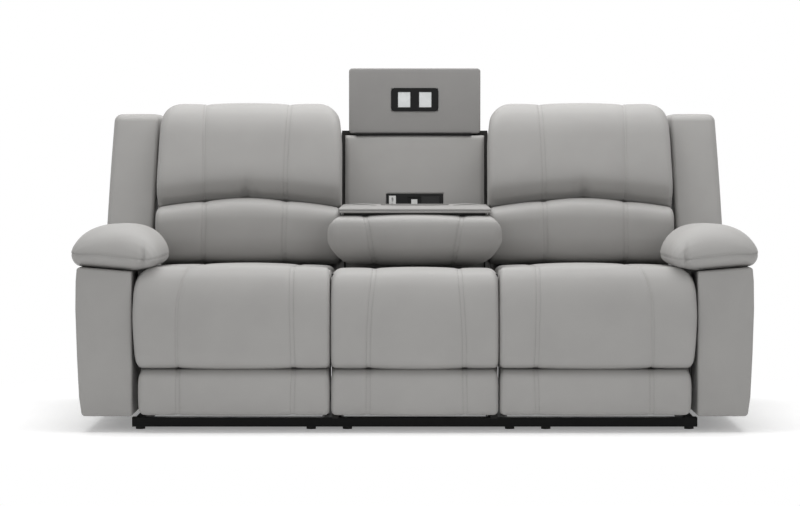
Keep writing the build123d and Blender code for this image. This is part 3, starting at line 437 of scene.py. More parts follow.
# Long grain of plywood faces.
plyGrain, setting, place = grainGroup("plyGrain", {"Grain Scale": 14.0}, "Figure")
stretched = addNode(plyGrain, "ShaderNodeMapping", Vector=place, Scale=(1.0, 9.0, 9.0))
figure = addNode(plyGrain, "ShaderNodeTexNoise", Vector=stretched.outputs[0], Scale=setting["Grain Scale"],
                 Detail=6.0, Distortion=1.2)
closeGroup(plyGrain, figure.outputs[0], figure.outputs[0])


def coat(grain, dark, light, rough, bump, depth, specular, **more):
    return dict(grain=grain, dark=dark, light=light, rough=rough, bump=bump, depth=depth, specular=specular,
                **more)


def grey(level):
    return (level, level, level)


finishes = {      # grain, dark and light colour, roughness, strength and depth of the bumps, specular level
    "upholstery": coat(hideGrain, (0.352, 0.345, 0.336), (0.378, 0.371, 0.361), (0.5, 0.6),
                       0.1, 0.0004, 0.42),
    "panelUpholstery": coat(hideGrain, (0.345, 0.338, 0.329), (0.37, 0.363, 0.353), (0.56, 0.66),
                            0.1, 0.0004, 0.36),
    # the console table's leather: the same upholstery made darker, as painted shade
    "tableUpholsteryPaintedShade": coat(hideGrain, (0.298, 0.292, 0.284), (0.32, 0.313, 0.305), (0.52, 0.62),
                            0.1, 0.0004, 0.36),
    # the light panel's leather: the same upholstery made darker, as painted shade
    "lidUpholsteryPaintedShade": coat(hideGrain, (0.27, 0.264, 0.258), (0.29, 0.284, 0.277), (0.56, 0.66),
                          0.1, 0.0004, 0.36),
    # dark backing cloth, which also stands as painted shade on the middle back's frame and in the tray
    "darkLiningAndPaintedShade": coat(weaveGrain, (0.035, 0.034, 0.033), (0.05, 0.049, 0.047), (0.8, 0.9), 0.2, 0.0004, 0.2),
    "thread": coat(weaveGrain, (0.285, 0.279, 0.271), (0.325, 0.318, 0.309), (0.55, 0.65), 0.1, 0.0001, 0.4),
    "plywood": coat(plyGrain, (0.4, 0.27, 0.15), (0.62, 0.46, 0.29), (0.6, 0.75), 0.15, 0.0003, 0.3),
    "blackSteel": coat(mouldGrain, grey(0.005), grey(0.009), (0.38, 0.52), 0.12, 0.0002, 0.14),
    "springSteel": coat(mouldGrain, (0.36, 0.36, 0.37), (0.48, 0.48, 0.49), (0.28, 0.42), 0.05, 0.0001, 0.5,
                        metallic=1.0),
    "blackPlastic": coat(mouldGrain, grey(0.004), grey(0.007), (0.34, 0.44), 0.06, 0.0001, 0.16),
    "greyPlastic": coat(mouldGrain, grey(0.012), grey(0.017), (0.4, 0.5), 0.08, 0.0001, 0.25),
    "whitePlastic": coat(mouldGrain, (0.66, 0.66, 0.65), (0.72, 0.72, 0.71), (0.3, 0.38), 0.03, 0.0001, 0.5),
    "lampLens": coat(mouldGrain, (0.68, 0.7, 0.7), (0.74, 0.76, 0.76), (0.22, 0.3), 0.03, 0.0001, 0.5,
                     coat=0.3),
    "footRubber": coat(mouldGrain, grey(0.012), grey(0.02), (0.7, 0.85), 0.15, 0.0002, 0.3),
}
noiseSpan = (0.3, 0.7)        # where most of a noise texture's values lie
made = {}


def finish(name):
    if name in made:
        return made[name]
    look = finishes[name]
    material = made[name] = bpy.data.materials.new(name + "Finish")
    material.use_nodes = True
    tree = material.node_tree
    shader = tree.nodes["Principled BSDF"]
    grain = tree.nodes.new("ShaderNodeGroup")
    grain.node_tree = look["grain"]
    spread = remap(tree, grain.outputs[1], "From", noiseSpan)
    colour = addNode(tree, "ShaderNodeMix", {"data_type": "RGBA"},
                     i0=spread, i6=(*look["dark"], 1), i7=(*look["light"], 1))
    bump = addNode(tree, "ShaderNodeBump", Height=grain.outputs[0], Strength=look["bump"],
                   Distance=look["depth"])
    fillSockets(tree, shader, {
        "Base Color": colour.outputs[2], "Roughness": remap(tree, spread, "To", look["rough"]),
        "Normal": bump.outputs[0], "Specular IOR Level": look["specular"],
        "Metallic": look.get("metallic", 0.0), "Coat Weight": look.get("coat", 0.0),
    })
    return material


# Gives a made piece its finish and its body, and hides the solids that it stands for.
def dress(piece, look, body, replaces=()):
    piece.data.materials.clear()
    piece.data.materials.append(finish(look))
    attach(piece, body)
    if replaces:
        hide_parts(*replaces)


# Dresses the right-hand piece and makes and dresses its left-hand twin.
def dressPair(piece, stem, look, body, replaces=()):
    piece.name = f"right_{stem}"
    for half, side in ((piece, "right"), (mirrored(piece, f"left_{stem}"), "left")):
        owner = body if body == "base" else f"{side}_{body}"
        dress(half, look, owner, [f"{side}_{node}" for node in replaces])


# Left and right pads of one shape, with their stitches.
def padPair(stem, threads, cut, body, node, place=upright):
    piece, lines = channelPad(stem, cut, place)
    dressPair(piece, stem, "upholstery", body, [node])
    dressPair(stitches(threads, lines), threads, "thread", body)


def middlePad(name, threads, cut, nodes):
    piece, lines = channelPad(name, cut, upright)
    dress(piece, "upholstery", "base", nodes)
    dress(stitches(threads, lines), "thread", "base")


print("materials ready")

bothDouble = ["double", "double"]            # rows of stitches at the two seams
outerSingle = ["double", "single"]
arch = dict(fall=7.0, middle=566.0, half=300.0, start=190.0, end=60.0)


def seatArch(x, run, total):       # a low arch across the seat, on its upper side
    across = ((x - arch["middle"]) / arch["half"]) ** 2
    return -arch["fall"] * across * smooth(total - arch["start"], total - arch["end"], run)


outerFront = dict(
    samples=84, puff=5.0, dip=1.6, groove=0.9, stitching=outerSingle, shape=seatArch,
    rows=[   # face y, z, back y, z, roll, inner edge, inner seam, outer seam, outer edge
        (-431, 199.2, -429.4, 199.2, 15, 264.5, 376, 735, 859),
        (-453, 200.5, -429.4, 201, 15, 264, 376, 735, 861),
        (-474, 211, -429.4, 211, 16, 263.5, 377, 735, 865),
        (-486, 236, -429.4, 236, 17, 263, 378, 735, 868),
        (-490.5, 275, -429.4, 275, 18, 262.6, 379, 735, 871),
        (-491.5, 320, -429.4, 320, 18, 262.4, 380, 735, 873.5),
        (-491.5, 365, -429.4, 365, 18, 262.3, 381, 734, 874.5),
        (-489, 408, -429.4, 408, 20, 262.3, 382, 731, 873.5),
        (-481, 446, -429.4, 446, 16, 263.2, 382, 724, 871.5),
        (-466, 479, -429.4, 476, 14, 263.8, 382, 715, 866),
        (-447, 502, -429.4, 496, 13, 264.2, 382, 706, 852),
        (-431, 514, -425, 503.8, 12, 264.5, 381, 699, 838),
        (-419.5, 516.5, -419, 503.8, 12, 264.8, 380, 697, 830),
        (-415.4, 510, -415.8, 503.8, 12, 265.2, 380, 696, 827),
        (-414.8, 504.4, -415, 503.8, 10, 265.8, 380, 696, 826),
    ],
)
padPair("footrest_upper", "footrest_upper_stitches", outerFront, "footrest", "footrest_upper_pad")

lowerFront = [    # face y, z, back y, z and roll of the strips below the footrests and the middle seat
    (-431, 54.6, -429.4, 54.6, 10), (-462, 55, -429.4, 55.4, 12), (-479, 59.5, -429.4, 60, 15),
    (-486, 74, -429.4, 75, 17), (-488.5, 105, -429.4, 105, 18), (-486.5, 148, -429.4, 148, 20),
    (-479, 176, -429.4, 175, 18), (-461, 192.5, -429.4, 191, 16), (-431, 197.4, -429.4, 197.2, 14),
]


def lowerPad(knots):
    rows = [(*section, *across) for section, across in zip(lowerFront, knots)]
    return dict(samples=34, puff=3.0, dip=1.3, groove=0.8, stitching=bothDouble, rows=rows)


outerLower = lowerPad([
    (270, 380, 735, 846), (267, 380, 735, 851), (265, 380, 735, 855), (264, 380, 735, 857.5),
    (263.5, 379, 735, 859), (263.5, 378, 735, 859.5), (264.5, 377, 735, 858), (266.5, 376, 735, 855),
    (268, 376, 735, 853),
])
padPair("footrest_lower", "footrest_lower_stitches", outerLower, "footrest", "footrest_lower_pad")

outerSeat = dict(
    samples=84, puff=4.0, dip=1.4, groove=0.9, stitching=outerSingle,
    shape=lambda x, run, total: seatArch(x, total, total),
    rows=[
        (-410.6, 430, -408, 415, 16, 265.5, 381, 697, 866), (-411, 455, -408, 415, 22, 265, 381, 697, 867),
        (-410, 478, -406, 415, 24, 264.5, 381, 697, 867), (-404, 495, -400, 415, 24, 264.6, 381, 696, 867),
        (-386, 503.5, -385, 414.8, 24, 264.6, 381, 696, 867),
        (-350, 505.5, -350, 414.8, 24, 264.6, 381, 695, 867),
        *[(y, z, y, 414.8, 24, 264.6, 380, 694, 867) for y, z in (
            (-290, 505.5), (-225, 505), (-160, 504.5), (-95, 503), (-30, 501), (30, 498),
        )],
        (80, 493, 80, 414.8, 24, 264.5, 380, 694, 867), (118, 482, 116, 414.8, 24, 265, 380, 694, 867),
        (137, 462, 134, 415, 22, 265.5, 380, 694, 867), (141, 430, 138, 415, 16, 266, 380, 694, 867),
    ],
)
padPair("seat", "seat_stitches", outerSeat, "base", "seat_cushion")
print("outer seats ready")

middleSeat = dict(
    samples=130, puff=5.0, dip=1.6, groove=0.9, stitching=bothDouble,
    rows=[
        (-431, 199.2, -429.4, 199.2, 14, -259, -144, 155, 259),
        (-456, 201, -429.4, 201, 15, -259.5, -144, 155, 259.5),
        (-478, 216, -429.4, 216, 16, -260, -144, 154, 260),
        (-488.5, 250, -429.4, 250, 17, -260.4, -144, 154, 260.4),
        (-491.5, 296, -429.4, 296, 18, -260.6, -143, 153, 260.6),
        (-491.5, 342, -429.4, 342, 18, -260.6, -141, 151, 260.6),
        (-489, 388, -429.4, 388, 19, -260.6, -138, 148, 260.6),
        (-482, 430, -429.4, 430, 21, -260.4, -134, 145, 260.4),
        (-468, 466, -429.4, 466, 24, -260.2, -130, 142, 260.2),
        (-444, 493, -429.4, 485, 28, -260, -127, 140, 260),
        *[(*section, -260, -126, 139, 260) for section in (      # straight seams over the top
            (-408, 504.5, -414, 478, 30), (-355, 504, -409, 415.2, 32), (-300, 501.5, -300, 415, 34),
            (-240, 498, -240, 415, 34), (-175, 493, -175, 415, 34), (-105, 488, -105, 415, 34),
            (-35, 483, -35, 415, 32), (35, 478, 35, 415, 30), (95, 468, 93, 415, 26),
            (130, 450, 127, 415, 20), (140.5, 425, 138, 415.2, 14),
        )],
    ],
)
nodes = ["middle_seat_cushion", "middle_upper_front_pad"]
middlePad("middle_seat", "middle_seat_stitches", middleSeat, nodes)

middleLower = lowerPad([
    (-254, -145, 158, 254), (-257, -145, 158, 257), (-259, -145, 158, 259), (-260, -145, 157, 260),
    (-260, -144, 156, 260), (-260, -144, 155, 260), (-259, -144, 155, 259), (-257.5, -144, 155, 257.5),
    (-256, -144, 155, 256),
])
middlePad("middle_lower_front", "middle_lower_stitches", middleLower, ["middle_lower_front_pad"])
print("middle seat ready")

backLean = math.radians(12)
backPivot = (190.0, 330.0)


def onLeaningBack(x, v, u):      # v rearwards and u up, square to and along the leaning back
    return (
        x,
        backPivot[0] + u * math.sin(backLean) + v * math.cos(backLean),
        backPivot[1] + u * math.cos(backLean) - v * math.sin(backLean),
    )


# The tuck between the head and lumbar pads: its level in their tables, and the arch it really has.
tuck = dict(level=352.0, middle=563.0, half=305.0, top=364.5, side=335.0, power=1.6, upTo=590.0, downTo=165.0)


def archShift(x):
    across = np.abs(np.clip((x - tuck["middle"]) / tuck["half"], -1, 1)) ** tuck["power"]
    return tuck["top"] - (tuck["top"] - tuck["side"]) * across - tuck["level"]


def headWarp(x, v, u):
    return v, u + archShift(x) * (1 - smooth(tuck["level"], tuck["upTo"], u))


def lumbarWarp(x, v, u):
    return v, u + archShift(x) * smooth(tuck["downTo"], tuck["level"], u)


gathers = (   # place beside the tuck's middle, width, depth and reach of each crease
    (-3, 5.5, 13, 46), (16, 5, 12, 40), (6.5, 4, -4, 70), (-30, 10, 3.5, 36), (46, 11, 3, 34),
)
tuckRun = 80.0         # from the pad's hidden foot to where the creases start to fade


def tuckGathers(x, run, total):
    # Creases pulled up from the middle of the tuck line.
    fromMiddle = x - tuck["middle"]
    sunk = np.zeros_like(x)
    for at, wide, deep, reach in gathers:
        rise = np.maximum(run - tuckRun, 0) / reach
        crease = np.exp(-(((fromMiddle - at * (1 + 0.2 * rise)) / wide) ** 2))
        sunk -= deep * crease * np.exp(-rise ** 2) * smooth(5, 40, run)
    return sunk


headPad = dict(
    samples=150, puff=5.5, dip=1.3, groove=0.8, stitching=outerSingle,
    shape=tuckGathers, warp=headWarp,
    rows=[
        (-58, 353, -11, 353, 12, 249, 434, 705, 867), (-84, 353.6, -11, 354, 14, 248.6, 434, 705, 867),
        (-104, 359, -11, 360, 16, 248.3, 434, 705, 867), (-115, 368, -11, 373, 18, 248, 434, 705, 867),
        (-136, 380, -11, 385, 20, 248, 434, 705, 867), (-153, 396.5, -11, 400, 21, 248, 434, 705, 866.5),
        (-164, 418, -11, 420, 22, 248, 434, 705, 866), (-169, 454, -11, 455, 23, 248, 433, 705, 865),
        (-170.5, 508, -11, 505, 24, 248, 431, 705, 862), (-171, 550, -11, 542, 26, 248, 429, 705, 860.5),
        (-170.5, 588, -11, 574, 30, 248.5, 427, 705, 858.5),
        (-166, 622, -11, 602, 34, 250.5, 425, 705, 856.5),
        (-156, 653, -11, 628, 40, 254.5, 423, 705, 853.5), (-139, 677, -11, 638, 46, 261, 422, 705, 849.5),
        (-110, 690, -10.5, 641, 52, 269, 422, 705, 843.5), (-68, 697.5, -8, 642.5, 56, 276, 422, 705, 839),
        (-20, 700, 10, 642.5, 56, 279, 422, 705, 835), (26, 695, 32, 642.5, 50, 277, 422, 705, 837),
        (54, 678, 52, 642.5, 34, 268, 422, 705, 845), (60, 645, 58, 642.5, 18, 259, 422, 705, 852),
    ],
)
padPair("head_cushion", "head_stitches", headPad, "back", "head_pad", onLeaningBack)

lumbarPad = dict(
    samples=66, puff=5.0, dip=1.3, groove=0.8, stitching=bothDouble, warp=lumbarWarp,
    rows=[
        (-22, 158, -11, 158, 12, 252.5, 438, 709, 867), (-60, 158.6, -11, 159, 16, 250.5, 438, 709, 867.5),
        (-92, 163, -11, 166, 18, 248.8, 438, 709, 868), (-116, 175, -11, 178, 20, 248.4, 438, 709, 868),
        (-133, 193, -11, 196, 20, 248.4, 438, 708, 868), (-146, 216, -11, 218, 20, 248.4, 438, 707, 868),
        (-155, 242, -11, 243, 20, 248.4, 437, 706, 868), (-162, 268, -11, 268, 20, 248.4, 436, 705, 868),
        (-166.5, 292, -11, 291, 20, 248.4, 435, 705, 868), (-165, 314, -11, 312, 19, 248.4, 435, 705, 868),
        (-156, 332, -11, 329, 18, 248.4, 434, 705, 867.5),
        (-139, 344.5, -11, 341, 17, 248.8, 434, 705, 867),
        (-112, 350.8, -11, 349.5, 16, 248.8, 434, 705, 867),
        (-76, 351.8, -11, 350.8, 14, 250.5, 434, 705, 867), (-50, 352, -11, 351, 12, 252.5, 434, 705, 867),
    ],
)
padPair("lumbar_cushion", "lumbar_stitches", lumbarPad, "back", "lumbar_pad", onLeaningBack)

rearShell = dict(
    x=(255.2, 861.8), lowX=(292.2, 844.8), u=(-129.0, 641.0), skirt=60.4, v=(40.6, 58.0),
    edge=6.0, crown=(3.0, 0.0),
)
x, lowX, u, skirt = (rearShell[k] for k in ("x", "lowX", "u", "skirt"))
outline = [(lowX[1], u[0], 10), (lowX[1], skirt, 0), (x[1], skirt, 10), (x[1], u[1], 16),
           (x[0], u[1], 16), (x[0], skirt, 10), (lowX[0], skirt, 0), (lowX[0], u[0], 10)]
rings = [(rearShell["v"][1] - d, roundedRing(outline, i)) for i, d in edgeSteps(rearShell["edge"])]
rings.append((rearShell["v"][0], roundedRing(outline)))
piece = ringLoft("rearShell", rings, lambda p, q, level: onLeaningBack(p, level, q), rearShell["crown"])
dressPair(piece, "rear_shell", "panelUpholstery", "back", ["back_cover"])
sideReturn = dict(inner_return=(255.2, 267.0), outer_return=(850.0, 861.8), depths=(-10.0, 40.5), corner=3)
for stem in ("inner_return", "outer_return"):
    outline = rectangle(sideReturn[stem], sideReturn["depths"], sideReturn["corner"])
    ends = [(i, roundedRing(outline, sideReturn["corner"] - i)) for i in range(sideReturn["corner"] + 1)]
    rings = [(skirt + i, ring) for i, ring in ends] + [(u[1] - i, ring) for i, ring in ends[::-1]]
    piece = ringLoft(stem, rings, lambda p, q, level: onLeaningBack(p, q, level))
    dressPair(piece, stem, "panelUpholstery", "back")
print("outer backs ready")

armOutline = [   # x, z and corner radius of the arm's section, from its foot up the outer face
    (1035.0, 50.3, 12), (1043.5, 110.0, 0), (1049.0, 240.0, 0), (1053.0, 383.0, 0), (1051.5, 470.0, 0),
    (1047.5, 514.8, 10), (878.0, 500.9, 7), (878.0, 50.3, 7),
]
armRun = dict(
    depths=(-470.0, 455.0), edge=8.0, steps=(7, 5), crown=(5.0, 3.0), between=(-380, -225, 0, 225, 380),
    handlePocket=((1027.6, 1070), (-374.4, -225.6), (363.6, 436.4)),        # spans across, rearwards and up
)
ends = slabRings(armOutline, armRun["depths"], armRun["edge"], armRun["steps"])
split = armRun["steps"][0] + 1
rings = ends[:split] + [(y, roundedRing(armOutline)) for y in armRun["between"]] + ends[split:]
piece = ringLoft("armBody", rings, alongY, armRun["crown"])
cutAway(piece, blockBetween("handlePocket", *armRun["handlePocket"]))
piece.data.set_sharp_from_angle(angle=math.radians(50))
dressPair(piece, "arm_panel", "panelUpholstery", "base", ["arm_body"])


# Upper and lower sheets of an arm cushion, how far the upper one stands over the seam, and the run.
def armSheets(cut):
    columns = np.cos(np.linspace(math.pi, 0, cut["across"]))        # -1 at the inner edge, 1 at the outer
    bend = np.linspace(0, math.pi / 2, cut["noseRows"])
    length = cut["rear"] - cut["front"]
    run = np.concatenate([
        cut["noseRun"] * (1 - np.cos(bend)), np.linspace(cut["noseRun"], length, cut["runRows"])[1:],
    ])
    d = run[None, :]
    a = columns[:, None] + 0 * d
    y = cut["front"] + d + 0 * a
    inner = np.interp(y, cut["innerY"], cut["innerX"])
    outer = np.interp(y, cut["outerY"], cut["outerX"])
    x = (inner + outer) / 2 + (outer - inner) / 2 * a
    y = y + cut["bow"] * np.abs(a) ** 4 * np.exp(-d / cut["bowRun"])
    seam = np.interp(x, cut["seamX"], cut["seamZ"])
    under = np.interp(x, cut["underX"], cut["underZ"])
    crown = np.interp(y, cut["crownY"], cut["crownZ"])
    nose = np.sqrt(1 - (1 - np.clip(d / cut["noseRun"], 0, 1)) ** 2)
    top = seam + (crown - seam) * np.sqrt(np.maximum(1 - np.abs(a) ** cut["fullness"], 0)) * nose
    fromSide = np.minimum(x - inner, outer - x)
    tuckSide = np.sqrt(1 - (1 - np.clip(fromSide / cut["tuckRun"], 0, 1)) ** 2)
    tuckNose = np.sqrt(1 - (1 - np.clip(d / cut["noseTuck"], 0, 1)) ** 2)
    low = seam - (seam - under) * tuckSide * tuckNose
    nearSide, nearNose = np.exp(-((fromSide / cut["pullRun"]) ** 2)), np.exp(-((d / cut["pullRun"]) ** 2))
    foldAt = np.exp(-(((x - cut["foldX"]) / cut["foldHalf"]) ** 2)) * np.exp(-((d / cut["foldRun"]) ** 2))
    leaning = smooth(0.8, 1, (y - cut["front"]) / length) * math.tan(backLean)
    sheets = []
    for z in (top, low):
        rise = np.abs(z - seam)
        pull = cut["seamPull"] * np.exp(-((rise / cut["pullRise"]) ** 2))
        fold = cut["foldDepth"] * foldAt * np.exp(-((rise / cut["foldRise"]) ** 2))
        xs = x - np.sign(a) * pull * nearSide
        ys = y + pull * nearNose + fold + leaning * (z - cut["leanFrom"])
        sheets.append(np.stack([xs, ys, z], -1))
    return sheets, top - seam, run


def armPad(name, cut):
    (upper, lower), rise, run = armSheets(cut)
    rows, count = upper.shape[:2]
    loops = np.concatenate([upper, lower[:, ::-1]], 1)
    piece = makeObject(name, loops.reshape(-1, 3), gridFaces(0, rows, 2 * count, wrap=True), sharp=75)
    outward = sheetNormals(upper)
    outward *= np.sign(outward[rows // 2, count // 2, 2])
    lines = []
    for height in cut["needleRows"]:        # round the pad's three open sides, just above its seam
        k = int(np.argmin(np.abs(rise[rows // 2, : cut["noseRows"]] - height)))
        c = max(1, int(np.argmin(np.abs(rise[: rows // 2, count // 2] - height))))
        stop = int(np.argmin(np.abs(run - cut["needleRun"])))
        path = [(c, j) for j in range(stop, k, -1)] + [(i, k) for i in range(c, rows - c)]
        path += [(rows - 1 - c, j) for j in range(k + 1, count)]
        lines.append((np.array([upper[q] for q in path]), np.array([outward[q] for q in path])))
    return piece, lines


armCushion = dict(
    across=75, noseRows=54, runRows=44, front=-481.0, rear=150.0, bow=8.0, bowRun=45.0, fullness=2.1,
    noseRun=108.0, tuckRun=26.0, noseTuck=66.0, leanFrom=560.0,
    innerY=(-481, -476, -465, -445, -420, -390, -350, -300, -200, -100, -10, 20, 44),
    innerX=(848, 830, 814, 801, 793, 788, 784, 784, 790, 801, 813, 836, 880),
    outerY=(-481, -474, -460, -440, -300, -100, 130), outerX=(1043, 1053, 1062, 1068, 1068, 1060, 1050),
    crownY=(-480, -370, -200, 130), crownZ=(646.5, 647, 642, 628),
    seamX=(783, 800, 823, 846, 908, 977, 1068), seamZ=(543, 540, 537, 538, 544, 552, 555),
    underX=(783, 800, 821, 850, 866, 878, 1047, 1068),
    underZ=(521, 517.5, 512.5, 505.5, 503, 501.8, 515.8, 517.5),
    seamPull=1.3, pullRun=9.0, pullRise=3.0, foldX=842.0, foldDepth=9.0, foldHalf=6.5, foldRun=55.0,
    foldRise=40.0, needleRows=(4.0, 9.5), needleRun=470.0,
)
piece, lines = armPad("armCushion", armCushion)
dressPair(piece, "arm_cushion", "upholstery", "base", ["arm_pad"])
dressPair(stitches("armStitches", lines), "arm_cushion_stitches", "thread", "base")

wingShape = dict(
    foot=515.8, top=996.0, radius=24.0, frontAt=560.0, front=146.0, rearFoot=455.0, rearHead=475.0,
    innerFoot=884.0, innerHead=868.0, outerFoot=1042.0, outerHead=1021.0, belly=8.0, bow=8.0,
    outerCorner=28, rearCorner=25, innerCorner=15, footEase=60.0, armEdge=1047.0, armSlope=14.0 / 169.0,
)


def wingRing(z, inset):
    w = wingShape
    share = (z - w["frontAt"]) / (w["top"] - w["frontAt"])
    inner = w["innerFoot"] + (w["innerHead"] - w["innerFoot"]) * share
    outer = w["outerFoot"] + (w["outerHead"] - w["outerFoot"]) * share
    front = w["front"] + (z - w["frontAt"]) * math.tan(backLean)
    rear = w["rearFoot"] + (w["rearHead"] - w["rearFoot"]) * share
    belly = w["belly"] * math.sin(math.pi * min(max(share, 0), 1))
    corners = [
        (outer, front, w["outerCorner"]), (outer + belly, (front + rear) / 2, 0),
        (outer, rear, w["rearCorner"]), (inner, rear, w["rearCorner"]),
        (inner, front, w["innerCorner"]), ((inner + outer) / 2, front - w["bow"], 0),
    ]
    return roundedRing(corners, inset, 7)


def wingPlace(p, q, level):      # the wing's foot follows the slope of the arm's top
    drop = np.clip(1 - (level - wingShape["foot"]) / wingShape["footEase"], 0, 1)
    return p, q, level - drop * (wingShape["armEdge"] - p) * wingShape["armSlope"]


shoulder = wingShape["top"] - wingShape["radius"]
rings = [(z, wingRing(z, 0)) for z in np.linspace(wingShape["foot"], shoulder, 12)]
for i, d in edgeSteps(wingShape["radius"], 7)[-2::-1]:
    rings.append((wingShape["top"] - d, wingRing(wingShape["top"] - d, i)))
piece = ringLoft("wing", rings, wingPlace, crown=(0.0, 2.0))
dressPair(piece, "side_wing", "panelUpholstery", "base", ["wing"])
print("arms and wings ready")

consolePad = dict(
    samples=100, puff=6.0, dip=1.6, groove=0.9, stitching=bothDouble,
    rows=[
        (292, 510, 292, 578, 30, -246, -126, 121, 246), (220, 503, 220, 578, 36, -246, -126, 121, 246),
        (140, 501, 140, 578, 42, -244, -126, 121, 244), (60, 500.5, 60, 578, 44, -239, -127, 121, 239),
        (-10, 500.5, -10, 578, 44, -234, -128, 121, 234), (-75, 502, -70, 580, 40, -235, -130, 123, 235),
        (-128, 511.5, -90, 582, 38, -250, -132, 125, 250), (-168, 532, -98, 584, 37, -267, -136, 129, 267),
        (-197, 562, -100, 586, 34, -280, -141, 134, 280), (-209, 595, -100, 588, 32, -281, -146, 140, 281),
        (-211.5, 624, -98, 590, 26, -279, -151, 145, 279), (-208, 646, -92, 592, 18, -271, -155, 149, 271),
        (-197, 657.5, -82, 594, 13, -260, -158, 152, 260), (-176, 663, -76, 596, 10, -248, -159, 153, 248),
        (-120, 664.5, -76, 596, 10, -246, -159, 153, 246), (-30, 665, -30, 596, 14, -246, -159, 153, 246),
        (70, 668, 70, 596, 14, -246, -159, 153, 246), (180, 668, 180, 596, 14, -246, -159, 153, 246),
        (292, 666, 292, 596, 14, -246, -159, 153, 246),
    ],
)
piece, lines = channelPad("console_cushion", consolePad, upright)
dress(piece, "upholstery", "console", ["console_pad"])
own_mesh(piece)
# The table hides the last quarter of the seams.
lines = [[points[:len(points) * 3 // 4] for points in pair] for pair in lines]
dress(stitches("console_stitches", lines), "thread", "console")

tableShape = dict(
    x=(-247.0, 247.0), y=(-190.0, 296.0), corner=9.0, top=688.0,
    boardWell=((-228.4, 228.4), (-165.6, 285.6), (640, 676.4)),
    mound=dict(height=6.0, x=174.0, halfX=71.0, y=48.0, halfY=250.0),
    profile=((673.4, 4.5), (673.9, 2.0), (675.4, 0.6), (677.8, 0.0), (679.6, 0.5), (680.6, 1.7), (681.4, 1.7),
             (682.4, 0.4), (684.6, 0.0), (686.8, 0.8), (688.2, 2.6), (688.8, 5.5)),
)
tray = dict(x=(-115.0, 115.0), y=(110.0, 262.0), room=0.2, lining=(668.6, 664.2), corner=6.0)
cupWell = dict(x=170.0, y=20.0, radius=44.6)
throughTable = (660.0, 700.0)


def moundLevel(x, y, z):     # soft mounds either side of the tray, round the cup wells
    m = tableShape["mound"]
    across = np.clip(1 - ((np.abs(x) - m["x"]) / m["halfX"]) ** 2, 0, 1)
    along = np.clip(1 - ((y - m["y"]) / m["halfY"]) ** 4, 0, 1)
    return z + m["height"] * across * along * (z > tableShape["top"])


outline = rectangle(tableShape["x"], tableShape["y"], tableShape["corner"])
rings = [(level, roundedRing(outline, inset)) for level, inset in tableShape["profile"]]
piece = ringLoft("console_top", rings, alongZ)
cutAway(piece, blockBetween("boardWell", *tableShape["boardWell"]))
cutAway(piece, blockBetween("trayWell", tray["x"], tray["y"], throughTable))
for side in (-1, 1):
    x, y, radius = side * cupWell["x"], cupWell["y"], cupWell["radius"]
    turns = np.linspace(0, 2 * math.pi, 49)[:-1]
    ring = [(x + radius * math.cos(t), y + radius * math.sin(t)) for t in turns]
    cutAway(piece, ringLoft("cupWell", [(level, ring) for level in throughTable], alongZ, sharp=30))
piece.data.set_sharp_from_angle(angle=math.radians(35))
# The console table wears the darker copy of the upholstery: painted shade.
dress(piece, "tableUpholsteryPaintedShade", "console", ["console_table"])
for v in piece.data.vertices:
    v.co.z = moundLevel(*(c / mm for c in v.co)) * mm
x, y = ((span[0] + tray["room"], span[1] - tray["room"]) for span in (tray["x"], tray["y"]))
ring = roundedRing(rectangle(x, y, tray["corner"]))
# The tray's dark cloth is partly its lining and partly painted shade in the tray.
dress(ringLoft("tray_lining", [(level, ring) for level in tray["lining"]], alongZ), "darkLiningAndPaintedShade", "console")
print("console ready")

recess = dict(
    half=240.0, thick=19.0, through=(339.0, 688.0), lean=math.radians(6),      # y and z on its plain face
    well=dict(half=98.3, depths=(300, 400), room=(0.5, -0.2)),
    profile=(      # z, how proud of the plain face, roll of the side edges
        (541, -9, 8), (543.5, -2.5, 9), (552, 0, 12), (600, 0.8, 15), (660, 1.4, 16),
        (720, 1.8, 16), (780, 1.8, 16), (840, 1.2, 16), (890, 0.6, 14), (914, 0, 12),
        (921.5, -2.5, 9), (924.4, -9, 8),
    ),
)


def recessFace(z):
    return recess["through"][0] + (z - recess["through"][1]) * math.tan(recess["lean"])


recessRows = [
    (recessFace(z) - proud, z, recessFace(z) + recess["thick"], z, roll, -recess["half"], recess["half"])
    for z, proud, roll in recess["profile"]
]
recessPad = dict(samples=46, puff=2.0, stitching=[], rows=recessRows)
piece, lines = channelPad("recess_cushion", recessPad, upright)
power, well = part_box("power_housing"), recess["well"]
heights = [power[i].z / mm + well["room"][i] for i in (0, 1)]
cutAway(piece, blockBetween("powerWell", (-well["half"], well["half"]), well["depths"], heights))
dress(piece, "panelUpholstery", "base", ["recess_panel"])

# Plain cloth strips that close the middle back below its recess.
linings = dict(
    lower_lining=dict(half=252.0, heights=(345.2, 487.8), depths=(240.4, 250.0)),
    seat_rear_lining=dict(half=255.0, heights=(445.0, 494.0), depths=(194.0, 203.0)),
    upper_lining=dict(half=255.0, heights=(486.0, 541.0), depths=(316.0, 326.0)),
)
for name, lining in linings.items():
    dress(uprightPanel(name, dict(corner=6.0, edge=3.0, **lining)), "panelUpholstery", "base")

lightPanel = dict(
    half=227.0, heights=(931.2, 1155.8), depths=(365.0, 393.0), corner=12.0, edge=5.0, crown=(1.2, 2.0),
)
lampWell = dict(inset=1.0, depths=(350, 377.4))
piece = uprightPanel("light_panel_cushion", lightPanel)
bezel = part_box("lamp_bezel")
span = [(bezel[0][k] / mm + lampWell["inset"], bezel[1][k] / mm - lampWell["inset"]) for k in (0, 2)]
cutAway(piece, blockBetween("lampWell", span[0], lampWell["depths"], span[1]))
piece.data.set_sharp_from_angle(angle=math.radians(50))
# The light panel wears the darker copy of the upholstery: painted shade.
dress(piece, "lidUpholsteryPaintedShade", "light_panel_body", ["light_panel"])

